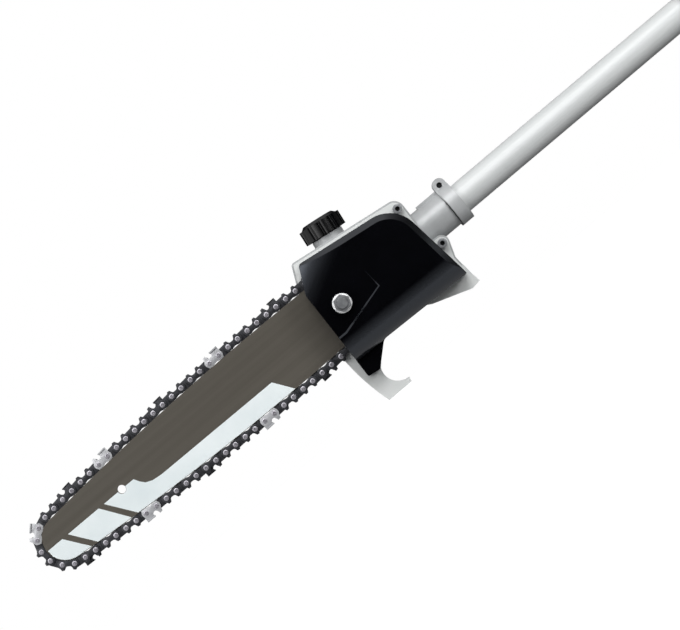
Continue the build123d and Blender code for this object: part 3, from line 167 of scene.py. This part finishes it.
# Chain steel, stamped and blackened in oil: near black, neutral, with a dull metal sheen
bluedSteel = makeFinish("blackenedChainSteel", {
    "shader": {"Metallic": 0.55}, "deep": "#232427", "pale": "#36373b", "cloudMm": 2.6,
    "grainMm": 0.6, "rough": (0.34, 0.52), "reliefMm": 0.01,
})

# Rivet heads, spun bright over the straps
rivetSteel = makeFinish("peenedRivetSteel", {
    "shader": {"Metallic": 0.6}, "deep": "#7d7b81", "pale": "#a5a3a9", "cloudMm": 1.4,
    "grainMm": 0.5, "rough": (0.26, 0.44), "reliefMm": 0.01,
})

# Cutters in hard chrome over steel: a pale cool grey, ground bright in faint streaks
cutterChrome = makeFinish("chromedCutterSteel", {
    "shader": {"Metallic": 0.4}, "deep": "#a2a3a6", "pale": "#bebfc2", "cloudMm": 4.0,
    "grainMm": 0.5, "runMm": 6.0, "rough": (0.28, 0.42), "reliefMm": 0.004,
})

# Screw of the tube clamp, blackened in a hot salt bath: a deep grey black, slightly oily
blackSteel = makeFinish("blackenedScrewSteel", {
    "shader": {"Metallic": 0.5}, "deep": "#101113", "pale": "#1d1e21", "cloudMm": 2.4,
    "grainMm": 0.5, "rough": (0.34, 0.5), "reliefMm": 0.006,
})

# Nuts and screws, bright zinc on turned steel
zincSteel = makeFinish("zincPlatedSteel", {
    "shader": {"Metallic": 0.85}, "deep": "#b0b2b5", "pale": "#ced0d2", "cloudMm": 4.0,
    "grainMm": 0.6, "rough": (0.26, 0.38), "reliefMm": 0.003,
})

# The bar nut, turned and plated: its hexagon painted a darker grey and its flange a near white, painted shade and a
# painted highlight that stand in for how the light falls on them
nutSteel = makeFinish("zincPlatedNutPaintedHighlight", {
    "shader": {"Metallic": 0.35}, "deep": "#77787a", "pale": "#8c8d90", "cloudMm": 4.0,
    "grainMm": 0.6, "rough": (0.24, 0.34), "reliefMm": 0.003,
    "zone": {"node": "bar_nut", "Y": (3.8, 4.6), "tone": "#f1f2f3"},
})

# Screws of the flange, ground heads with painted shade deep in their sockets
flangeSteel = makeFinish("groundScrewSteelSocketShade", {
    "shader": {"Metallic": 0.5}, "deep": "#85878a", "pale": "#a3a5a8", "cloudMm": 3.0,
    "grainMm": 0.5, "rough": (0.26, 0.42), "reliefMm": 0.006,
    "zone": {"node": "flange_screws", "Y": (0.2, 0.8), "tone": "#0b0b0c"},
})

# Gears, shafts and bearings, ground and oiled
groundSteel = makeFinish("groundGearSteel", {
    "shader": {"Metallic": 0.85}, "deep": "#85878a", "pale": "#a3a5a8", "cloudMm": 3.0,
    "grainMm": 0.5, "rough": (0.26, 0.42), "reliefMm": 0.006,
})

# Pump body, machined from bar with a dull satin cut
pumpAlloy = makeFinish("machinedAluminium", {
    "shader": {"Metallic": 0.7}, "deep": "#9fa2a5", "pale": "#bdc0c3", "cloudMm": 3.0,
    "grainMm": 0.6, "rough": (0.32, 0.48), "reliefMm": 0.01,
})

# Strainer, brass powder pressed and sintered: dull gold with open pores
strainerBrass = makeFinish("sinteredBrass", {
    "shader": {"Metallic": 0.8}, "deep": "#8f6f35", "pale": "#b8954f", "cloudMm": 1.2,
    "grainMm": 0.7, "rough": (0.45, 0.65), "reliefMm": 0.08,
})

# Seals in nitrile rubber: matt black
sealRubber = makeFinish("nitrileRubber", {
    "shader": {"Specular IOR Level": 0.3}, "deep": "#0d0d0e", "pale": "#18181a", "cloudMm": 4.0,
    "grainMm": 0.8, "rough": (0.62, 0.78), "reliefMm": 0.02,
})

# Bushes in natural acetal: ivory white, waxy
bushAcetal = makeFinish("naturalAcetal", {
    "shader": {"Specular IOR Level": 0.4}, "deep": "#d6d3c8", "pale": "#e4e1d8", "cloudMm": 8.0,
    "grainMm": 0.8, "rough": (0.36, 0.48), "reliefMm": 0.01,
})

slotFinish = {
    "cast_alloy": castAlloy, "tube_alloy": tubeAlloy, "bar_steel": barLacquer, "chain_steel": bluedSteel,
    "cutter_chrome": cutterChrome, "rivet_steel": rivetSteel, "black_plastic": gripNylon,
    "bush_plastic": bushAcetal, "steel": groundSteel, "seal_rubber": sealRubber, "pump_alloy": pumpAlloy,
    "strainer_brass": strainerBrass,
}
zincNodes = ("tank_screws", "tension_screw", "lock_bolt", "lock_nut")
ownFinish = {"sprocket_cover": coverNylon, "gear_housing": caseAlloy, "clamp_ring": clampAlloy,
             "clamp_screw": blackSteel, "bar_nut": nutSteel, "flange_screws": flangeSteel,
             **{name: zincSteel for name in zincNodes}}
nodeSlot = {part["node"]: part["material_slot"] for part in frame["record"]["subparts"]}
dressing = {"weldMm": 0.002, "edgeMm": 0.3, "edgeTurn": 35.0, "edgeSteps": 2, "flatWeight": 100, "smoothTurn": 30.0}
ownEdgeMm = {"sprocket_cover": 0.7, "bar_nut": 0.35, "clamp_ring": 0.6}


# CAD nodes keep their shape, get a finish, and have their sharp edges broken as a maker breaks them
def dressNode(name, node):
    node.data.materials.clear()
    node.data.materials.append(ownFinish.get(name, slotFinish[nodeSlot[name]]))
    weld = node.modifiers.new("weld", "WELD")
    weld.merge_threshold = dressing["weldMm"] * mm
    edges = node.modifiers.new("edges", "BEVEL")
    edges.width = ownEdgeMm.get(name, dressing["edgeMm"]) * mm
    edges.segments = dressing["edgeSteps"]
    edges.limit_method = "ANGLE"
    edges.angle_limit = radians(dressing["edgeTurn"])
    edges.use_clamp_overlap = True
    node.data.shade_smooth()
    flats = node.modifiers.new("flats", "WEIGHTED_NORMAL")
    flats.weight = dressing["flatWeight"]


for name, node in nodes.items():
    dressNode(name, node)
print("finishes set on", len(nodes), "nodes")

shaping = {"joinMm": 0.01, "levelGap": 1e-7, "rimSteps": 2, "rimProfile": 0.6}


# Loose solids of a node, each as its list of corner points, in the same order each time
def looseSolids(node):
    mesh = bmesh.new()
    mesh.from_mesh(node.data)
    bmesh.ops.remove_doubles(mesh, verts=mesh.verts, dist=shaping["joinMm"] * mm)
    left = dict.fromkeys(mesh.verts)
    solids = []
    while left:
        queue = [left.popitem()[0]]
        corners = []
        while queue:
            corner = queue.pop()
            corners.append(corner.co.copy())
            for edge in corner.link_edges:
                other = edge.other_vert(corner)
                if other in left:
                    del left[other]
                    queue.append(other)
        solids.append(corners)
    mesh.free()
    return solids


def middle(points):
    low = Vector(min(p[i] for p in points) for i in range(3))
    high = Vector(max(p[i] for p in points) for i in range(3))
    return (low + high) / 2


def newPiece(name, mesh, finishes, body):
    data = bpy.data.meshes.new(name)
    mesh.to_mesh(data)
    mesh.free()
    for finish in finishes:
        data.materials.append(finish)
    data.shade_smooth()
    data.set_sharp_from_angle(angle=radians(dressing["smoothTurn"]))
    piece = bpy.data.objects.new(name, data)
    bpy.context.scene.collection.objects.link(piece)
    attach(piece, body)
    return piece


# An outline in millimetres, u along the piece and v outwards, pulled up along w and softened at its edges
def plateMesh(outline, low, high, soften):
    mesh = bmesh.new()
    foot = [mesh.verts.new((u * mm, v * mm, low * mm)) for u, v in outline]
    face = mesh.faces.new(foot)
    lifted = bmesh.ops.extrude_face_region(mesh, geom=[face])
    top = [item for item in lifted["geom"] if isinstance(item, bmesh.types.BMVert)]
    bmesh.ops.translate(mesh, verts=top, vec=(0, 0, (high - low) * mm))
    bmesh.ops.recalc_face_normals(mesh, faces=mesh.faces)
    if soften:
        rims = [edge for edge in mesh.edges if abs(edge.verts[0].co.z - edge.verts[1].co.z) < shaping["levelGap"]]
        bmesh.ops.bevel(mesh, geom=rims, offset=soften * mm, segments=shaping["rimSteps"],
                        profile=shaping["rimProfile"], affect="EDGES", clamp_overlap=True)
    return mesh


def addCopy(target, source, place):
    data = bpy.data.meshes.new("copy")
    source.to_mesh(data)
    data.transform(place)
    target.from_mesh(data)
    bpy.data.meshes.remove(data)


def arcPoints(u, v, r, start, stop, count):
    turns = [radians(start + (stop - start) * i / (count - 1)) for i in range(count)]
    return [(u + r * cos(a), v + r * sin(a)) for a in turns]


# Saw chain: the frame gives each rivet's place, the rest is worked out along the loop.
# Sizes are in millimetres; outlines have u along the link from its middle and v out of the loop
chain = {"pitch": 9.3, "plateIn": 0.6, "plateOut": 1.75, "plateSoft": 0.22}
barLow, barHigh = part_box("bar_side_plates")
barY = (barLow.y + barHigh.y) / 2
rivetSpots = [middle(solid) for solid in looseSolids(nodes["chain_rivets"])]


def alongLoop(spots):
    loop = [spots[0]]
    left = list(spots[1:])
    while left:
        nearest = min(left, key=lambda spot: (spot - loop[-1]).length)
        left.remove(nearest)
        loop.append(nearest)
    turned = sum(a.x * b.z - b.x * a.z for a, b in zip(loop, loop[1:] + loop[:1]))
    return loop if turned > 0 else loop[::-1]


rivetLoop = alongLoop(rivetSpots)
pairs = list(zip(rivetLoop, rivetLoop[1:] + rivetLoop[:1]))


# Link frame: u along the run, v out of the loop, w towards the near side
def linkPlace(first, second):
    along = (second - first).normalized()
    near = Vector((0, -1, 0))
    out = along.cross(near).normalized()
    place = Matrix((along, out, near)).transposed().to_4x4()
    place.translation = Vector(((first.x + second.x) / 2, barY, (first.z + second.z) / 2))
    return place


linkMiddles = [middle(solid) for solid in looseSolids(nodes["chain_drive_links"])]
cutterMiddles = [middle(solid) for solid in looseSolids(nodes["chain_cutters"])]


def nearestGap(spot, spots):
    return min(hypot(spot.x - other.x, spot.z - other.z) for other in spots)


def pairMiddle(pair):
    return (pair[0] + pair[1]) / 2


linkGaps = [nearestGap(pairMiddle(pair), linkMiddles) for pair in pairs]
isLink = [gap < linkGaps[i - 1] for i, gap in enumerate(linkGaps)]
half = chain["pitch"] / 2


# A strap is alike at both ends: an arch underneath, a round lobe at the rivet, and a low bump behind the lobe
strap = {
    "foot": [(0.6, -2.8), (3.05, -3.5), (6.7, -3.5)], "lobe": (3.45, -40, 62, 7),
    "crest": [(5.25, 4.65), (3.35, 4.41), (2.25, 2.2), (1.25, 1.6)],
}


def strapOutline():
    right = [*strap["foot"], *arcPoints(half, 0, *strap["lobe"]), *strap["crest"]]
    return right + [(-u, v) for u, v in reversed(right)]


# A drive link has a tang below, which runs in the bar's groove, and a guard that rises at its rear end
driveLink = {
    "front": [(2.1, -8.2), (4.0, -3.5), (6.45, -3.5)], "frontLobe": (3.05, -50, 90, 8), "guard": [(-4.05, 3.6)],
    "rearLobe": (3.05, 95, 225, 8), "rear": [(-6.25, -3.5), (-4.0, -3.5), (-0.8, -9.0)],
    "half": 0.55, "soften": 0.12,
}


def linkOutline():
    front = [*driveLink["front"], *arcPoints(half, 0, *driveLink["frontLobe"])]
    return front + [*driveLink["guard"], *arcPoints(-half, 0, *driveLink["rearLobe"]), *driveLink["rear"]]


# A cutter has a depth gauge in front, a gullet, and the tooth with its top plate bent over the chain
cutter = {
    "frontFoot": [(0.6, -2.8), (3.05, -3.5), (6.7, -3.5)], "frontLobe": (3.45, -40, 50, 6),
    "gauge": [(6.25, 5.4), (4.05, 5.9)], "gullet": [(3.15, 3.4), (1.9, 2.3), (0.4, 2.5), (-0.9, 3.7)],
    "tooth": [(-0.2, 5.9), (-7.25, 6.4)], "rearLobe": (3.45, 150, 220, 5),
    "rearFoot": [(-6.7, -3.5), (-3.05, -3.5), (-0.6, -2.8)], "inward": -0.3,
}


def cutterOutline():
    front = [*cutter["frontFoot"], *arcPoints(half, 0, *cutter["frontLobe"]), *cutter["gauge"], *cutter["gullet"]]
    return front + [*cutter["tooth"], *arcPoints(-half, 0, *cutter["rearLobe"]), *cutter["rearFoot"]]


# Top plate: its section as side and height, sloping down from the heel to the cutting tip
topPlate = {"section": [(0.6, 5.4), (0.6, 6.3), (3.1, 6.5), (3.1, 5.5)], "heel": -7.35, "tip": -0.1,
            "tipDrop": 0.35, "soften": 0.15}


def topPlateMesh():
    mesh = bmesh.new()
    ends = []
    for u, drop in ((topPlate["heel"], 0.0), (topPlate["tip"], topPlate["tipDrop"])):
        ends.append([mesh.verts.new((u * mm, (v - drop) * mm, w * mm)) for w, v in topPlate["section"]])
    for i in range(len(ends[0])):
        mesh.faces.new((ends[0][i], ends[0][i - 1], ends[1][i - 1], ends[1][i]))
    mesh.faces.new(ends[0])
    mesh.faces.new(reversed(ends[1]))
    bmesh.ops.recalc_face_normals(mesh, faces=mesh.faces)
    bmesh.ops.bevel(mesh, geom=list(mesh.edges), offset=topPlate["soften"] * mm, segments=1, affect="EDGES",
                    clamp_overlap=True)
    return mesh


# Rivet: radius over height from the strap outwards, a low head with a spun dimple, alike on both sides
rivet = {"sides": 20, "profile": [(1.95, 1.75), (1.95, 2.0), (1.5, 2.25), (0.95, 2.25), (0.75, 1.95)]}


def rivetMesh():
    mesh = bmesh.new()
    sides = rivet["sides"]
    turns = [2 * pi * i / sides for i in range(sides)]
    heads = []
    for side in (1, -1):
        heads.append([[mesh.verts.new((r * mm * cos(a), r * mm * sin(a), side * w * mm)) for a in turns]
                      for r, w in rivet["profile"]])
    near, far = heads
    for first, second in [*zip(near, near[1:]), *zip(far, far[1:]), (near[0], far[0])]:
        for i in range(sides):
            mesh.faces.new((first[i], first[i - 1], second[i - 1], second[i]))
    mesh.faces.new(near[-1])
    mesh.faces.new(far[-1])
    bmesh.ops.recalc_face_normals(mesh, faces=mesh.faces)
    return mesh


flip = Matrix.Diagonal((1, 1, -1, 1))
strapShape = plateMesh(strapOutline(), chain["plateIn"], chain["plateOut"], chain["plateSoft"])
linkShape = plateMesh(linkOutline(), -driveLink["half"], driveLink["half"], driveLink["soften"])
cutterShape = plateMesh(cutterOutline(), chain["plateIn"], chain["plateOut"], chain["plateSoft"])
addCopy(cutterShape, topPlateMesh(), Matrix.Identity(4))
cutterShape.normal_update()
for face in cutterShape.faces:
    face.material_index = 1 if face.normal.z < cutter["inward"] else 0  # the inner side takes the dark blued finish: painted shade for the far cutters, whose inner sides face the eye
rivetShape = rivetMesh()

chainMeshes = {name: bmesh.new() for name in ("driveLinks", "tieStraps", "cutters", "rivets")}
for pair, link in zip(pairs, isLink):
    place = linkPlace(*pair)
    if link:
        addCopy(chainMeshes["driveLinks"], linkShape, place)
        for end in (-half, half):
            addCopy(chainMeshes["rivets"], rivetShape, place @ Matrix.Translation((end * mm, 0, 0)))
        continue
    for turn in (Matrix.Identity(4), flip):
        onSide = [spot for spot in cutterMiddles if (spot.y < barY) == (turn is not flip)]
        cuts = nearestGap(pairMiddle(pair), onSide) < half * mm
        addCopy(chainMeshes["cutters" if cuts else "tieStraps"], cutterShape if cuts else strapShape, place @ turn)

chainFinish = {
    "driveLinks": ("chain_drive_links", [bluedSteel]), "tieStraps": ("chain_tie_straps", [bluedSteel]),
    "cutters": ("chain_cutters", [cutterChrome, bluedSteel]), "rivets": ("chain_rivets", [rivetSteel]),
}
for name, (nodeName, finishes) in chainFinish.items():
    bmesh.ops.recalc_face_normals(chainMeshes[name], faces=chainMeshes[name].faces)
    piece = newPiece(name, chainMeshes[name], finishes, "bar")
    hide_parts(nodeName)
print("chain laid:", sum(isLink), "drive links")

# Pale band printed on the near side of the bar, below its middle line: three panels with slanted gaps.
# u runs along the bar from the hang hole and v upwards, in millimetres; each panel ends at the bar's lower edge
band = {"film": 0.05, "margin": 0.4, "holeMargin": 0.2, "holeArc": (177, 363, 13), "noseU": -55.0}
bandPanels = {
    "tip": {"top": [(-71.5, 0.2), (-57.7, 0.2)], "foot": (-71.5, -44.3)},
    "middle": {"top": [(-52.1, 0.2), (-22.3, 0.2)], "foot": (-38.5, -7.7)},
    "long": {"top": [(-17.2, 0.2), "hole", (11.5, 0.1), (14.0, -4.2), (17.0, -7.6), (22.0, -9.7), (30.0, -10.6),
                     (136.5, -11.2)], "foot": (-1.7, 146.9)},
}
hole = next(mount for mount in frame["record"]["mounts"] if mount["name"] == "hang_hole")
holeAt = Vector(hole["pos_m"])


# Lower edge of the bar's near face, from the tip to the tail: the lower hull of its corner points
def lowerEdge():
    points = {((v.co.x - holeAt.x) / mm, (v.co.z - holeAt.z) / mm) for v in nodes["bar_side_plates"].data.vertices}
    edge = []
    for u, v in sorted(points):
        while len(edge) > 1 and ((edge[-1][0] - edge[-2][0]) * (v - edge[-2][1])
                                 <= (edge[-1][1] - edge[-2][1]) * (u - edge[-2][0])):
            edge.pop()
        edge.append((u, v))
    return edge


def edgeHeight(edge, u):
    for first, second in zip(edge, edge[1:]):
        if first[0] <= u <= second[0]:
            return first[1] + (second[1] - first[1]) * (u - first[0]) / (second[0] - first[0])


# One panel: its top as listed, then back along the bar's edge, a margin inside it
def panelOutline(panel, edge):
    left, right = panel["foot"]
    within = [point for point in edge if left < point[0] < right]
    foot = [(left, edgeHeight(edge, left)), *within, (right, edgeHeight(edge, right))]
    notch = arcPoints(0, 0, hole["dims"]["r_mm"] + band["holeMargin"], *band["holeArc"])
    outline = []
    for point in panel["top"]:
        outline += notch if point == "hole" else [point]
    for u, v in reversed(foot):
        inwards = Vector((max(u, band["noseU"]) - u, -v)).normalized() * band["margin"]
        outline.append((u + inwards.x, v + inwards.y))
    return outline


barEdge = lowerEdge()
onBar = Matrix((Vector((1, 0, 0)), Vector((0, 0, 1)), Vector((0, -1, 0)))).transposed().to_4x4()
onBar.translation = Vector((holeAt.x, barLow.y, holeAt.z))
bandMesh = bmesh.new()
for panel in bandPanels.values():
    addCopy(bandMesh, plateMesh(panelOutline(panel, barEdge), 0.0, band["film"], 0), onBar)
newPiece("printedBand", bandMesh, [bandEnamel], "bar")
print("band printed:", len(bandPanels), "panels")

# Camera: square on to the bar with a long lens, rolled so that the pole climbs to the right
shot = {"frameWidth": 0.506, "distance": 2.0, "roll": 40.15, "centreX": -0.8354, "centreZ": -0.0086,
        "sensor": 36.0, "farClip": 50.0}
camera = bpy.data.objects.new("camera", bpy.data.cameras.new("camera"))
bpy.context.scene.collection.objects.link(camera)
camera.data.sensor_width = shot["sensor"]
camera.data.lens = shot["sensor"] * shot["distance"] / shot["frameWidth"]
camera.data.clip_end = shot["farClip"]
lean = radians(shot["roll"])
right = Vector((cos(lean), 0, -sin(lean)))
up = Vector((sin(lean), 0, cos(lean)))
camera.matrix_world = Matrix((right, up, Vector((0, -1, 0)))).transposed().to_4x4()
camera.location = (shot["centreX"], barY - shot["distance"], shot["centreZ"])
bpy.context.scene.camera = camera

# Floor well below the saw, mid grey to the lamps and white to the eye, with the saw's soft shadow on it.
# Its glow makes up for the lamps' light as that falls off, so that the floor runs into the white around it
room = {"floorDrop": 0.6, "floorSize": 30.0, "floorTone": "#6a6a6a", "floorRough": 0.9, "nearGlow": 0.8,
        "farGlow": 1.0, "glowFrom": 0.4, "glowTo": 1.8, "skyTone": "#f2f4f6", "skyLight": 0.12}


def sheetPiece(name, size, material):
    mesh = bmesh.new()
    bmesh.ops.create_grid(mesh, x_segments=1, y_segments=1, size=size / 2)
    data = bpy.data.meshes.new(name)
    mesh.to_mesh(data)
    mesh.free()
    data.materials.append(material)
    sheet = bpy.data.objects.new(name, data)
    bpy.context.scene.collection.objects.link(sheet)
    return sheet


# Rays of the eye, of mirrors and of glass: these see the white studio, all others its plain light
def eyeRays(tree):
    path = addNode(tree, "ShaderNodeLightPath")
    mirrored = addNode(tree, "ShaderNodeMath", operation="MAXIMUM",
                       links={0: path.outputs["Is Camera Ray"], 1: path.outputs["Is Glossy Ray"]})
    seen = addNode(tree, "ShaderNodeMath", operation="MAXIMUM",
                   links={0: mirrored.outputs["Value"], 1: path.outputs["Is Transmission Ray"]})
    return seen.outputs["Value"]


def floorMaterial():
    material = bpy.data.materials.new("whiteSweep")
    material.use_nodes = True
    tree = material.node_tree
    shader = tree.nodes["Principled BSDF"]
    shader.inputs["Base Color"].default_value = hexLinear(room["floorTone"])
    shader.inputs["Roughness"].default_value = room["floorRough"]
    place = addNode(tree, "ShaderNodeTexCoord").outputs["Object"]
    reach = addNode(tree, "ShaderNodeVectorMath", links={0: place}, operation="LENGTH")
    strength = addNode(tree, "ShaderNodeMapRange", {"From Min": room["glowFrom"], "From Max": room["glowTo"],
                                                    "To Min": room["nearGlow"], "To Max": room["farGlow"]},
                       {"Value": reach.outputs["Value"]})
    glow = addNode(tree, "ShaderNodeEmission", links={"Strength": strength.outputs["Result"]})
    both = addNode(tree, "ShaderNodeAddShader", links={0: shader.outputs["BSDF"], 1: glow.outputs["Emission"]})
    pick = addNode(tree, "ShaderNodeMixShader", links={0: eyeRays(tree), 1: shader.outputs["BSDF"],
                                                       2: both.outputs["Shader"]})
    tree.links.new(pick.outputs["Shader"], tree.nodes["Material Output"].inputs["Surface"])
    return material


floor = sheetPiece("floor", room["floorSize"], floorMaterial())
floor.location = (shot["centreX"], 0, -room["floorDrop"])

# Dark gauze hung round the saw out of sight, only for shiny faces to mirror: before the saw, so that the black
# cover stays black, and behind, across and below the pole, so that round pieces have dark rims against the white.
# Each sheet thins out from its middle, so that a rounded face goes softly from dark to light
gauze = {"tone": "#070707", "dense": 0.085, "clear": 0.34}
gauzeSheets = {
    "nearGauze": {"at": (shot["centreX"], -0.85, shot["centreZ"]), "lean": 125.0, "turn": 0.0, "width": 2.5},
    "farGauze": {"at": (shot["centreX"], 1.2, 0.0), "lean": 90.0, "turn": 0.0, "width": 11.0},
    "poleGauze": {"at": (0.9, -0.6, 0.4), "lean": 90.0, "turn": 90.0, "width": 9.0},
    "lowGauze": {"at": (-0.35, 0.85, -0.45), "lean": 0.0, "turn": 0.0, "width": 3.4},
}


def gauzeMaterial():
    material = bpy.data.materials.new("blackGauze")
    material.use_nodes = True
    tree = material.node_tree
    shader = tree.nodes["Principled BSDF"]
    shader.inputs["Base Color"].default_value = hexLinear(gauze["tone"])
    shader.inputs["Roughness"].default_value = 1.0
    shader.inputs["Specular IOR Level"].default_value = 0.0
    place = addNode(tree, "ShaderNodeTexCoord").outputs["Object"]
    reach = addNode(tree, "ShaderNodeVectorMath", links={0: place}, operation="LENGTH")
    thin = addNode(tree, "ShaderNodeMapRange", {"From Min": gauze["dense"], "From Max": gauze["clear"]},
                   {"Value": reach.outputs["Value"]})
    gaps = addNode(tree, "ShaderNodeBsdfTransparent")
    weave = addNode(tree, "ShaderNodeMixShader", links={0: thin.outputs["Result"], 1: shader.outputs["BSDF"],
                                                        2: gaps.outputs["BSDF"]})
    tree.links.new(weave.outputs["Shader"], tree.nodes["Material Output"].inputs["Surface"])
    return material


blackGauze = gauzeMaterial()
for name, hung in gauzeSheets.items():
    sheet = sheetPiece(name, 1.0, blackGauze)
    sheet.scale = (hung["width"], hung["width"], 1.0)
    sheet.location = hung["at"]
    sheet.rotation_euler = (radians(hung["lean"]), 0, radians(hung["turn"]))
    sheet.visible_camera = False
    sheet.visible_diffuse = False
    sheet.visible_shadow = False

# World: soft light for the surfaces, white for the eye and for what the metal mirrors
world = bpy.data.worlds.new("studio")
bpy.context.scene.world = world
world.use_nodes = True
sky = world.node_tree
soft = sky.nodes["Background"]
soft.inputs["Color"].default_value = hexLinear(room["skyTone"])
soft.inputs["Strength"].default_value = room["skyLight"]
white = addNode(sky, "ShaderNodeBackground", {"Color": (1, 1, 1, 1), "Strength": 1.0})
pick = addNode(sky, "ShaderNodeMixShader", links={0: eyeRays(sky), 1: soft.outputs["Background"],
                                                  2: white.outputs["Background"]})
sky.links.new(pick.outputs["Shader"], sky.nodes["World Output"].inputs["Surface"])

# Lamps, all aimed at the head
lamps = {
    "key": {"at": (-0.3, -1.5, 1.5), "size": 1.3, "watts": 32},
    "front": {"at": (-1.8, -1.5, 0.8), "size": 1.2, "watts": 16},
    "fill": {"at": (0.7, -1.8, 0.5), "size": 0.8, "watts": 17},
    "back": {"at": (-0.6, 2.0, 0.0), "size": 1.2, "watts": 38},
}
aim = Vector((-0.75, -0.03, 0.0))
for name, lamp in lamps.items():
    light = bpy.data.lights.new(name, "AREA")
    light.size = lamp["size"]
    light.energy = lamp["watts"]
    holder = bpy.data.objects.new(name, light)
    holder.location = lamp["at"]
    holder.rotation_euler = (aim - holder.location).to_track_quat("-Z", "Y").to_euler()
    bpy.context.scene.collection.objects.link(holder)

bpy.context.scene.view_settings.view_transform = "Standard"
print("camera, floor and lamps set")
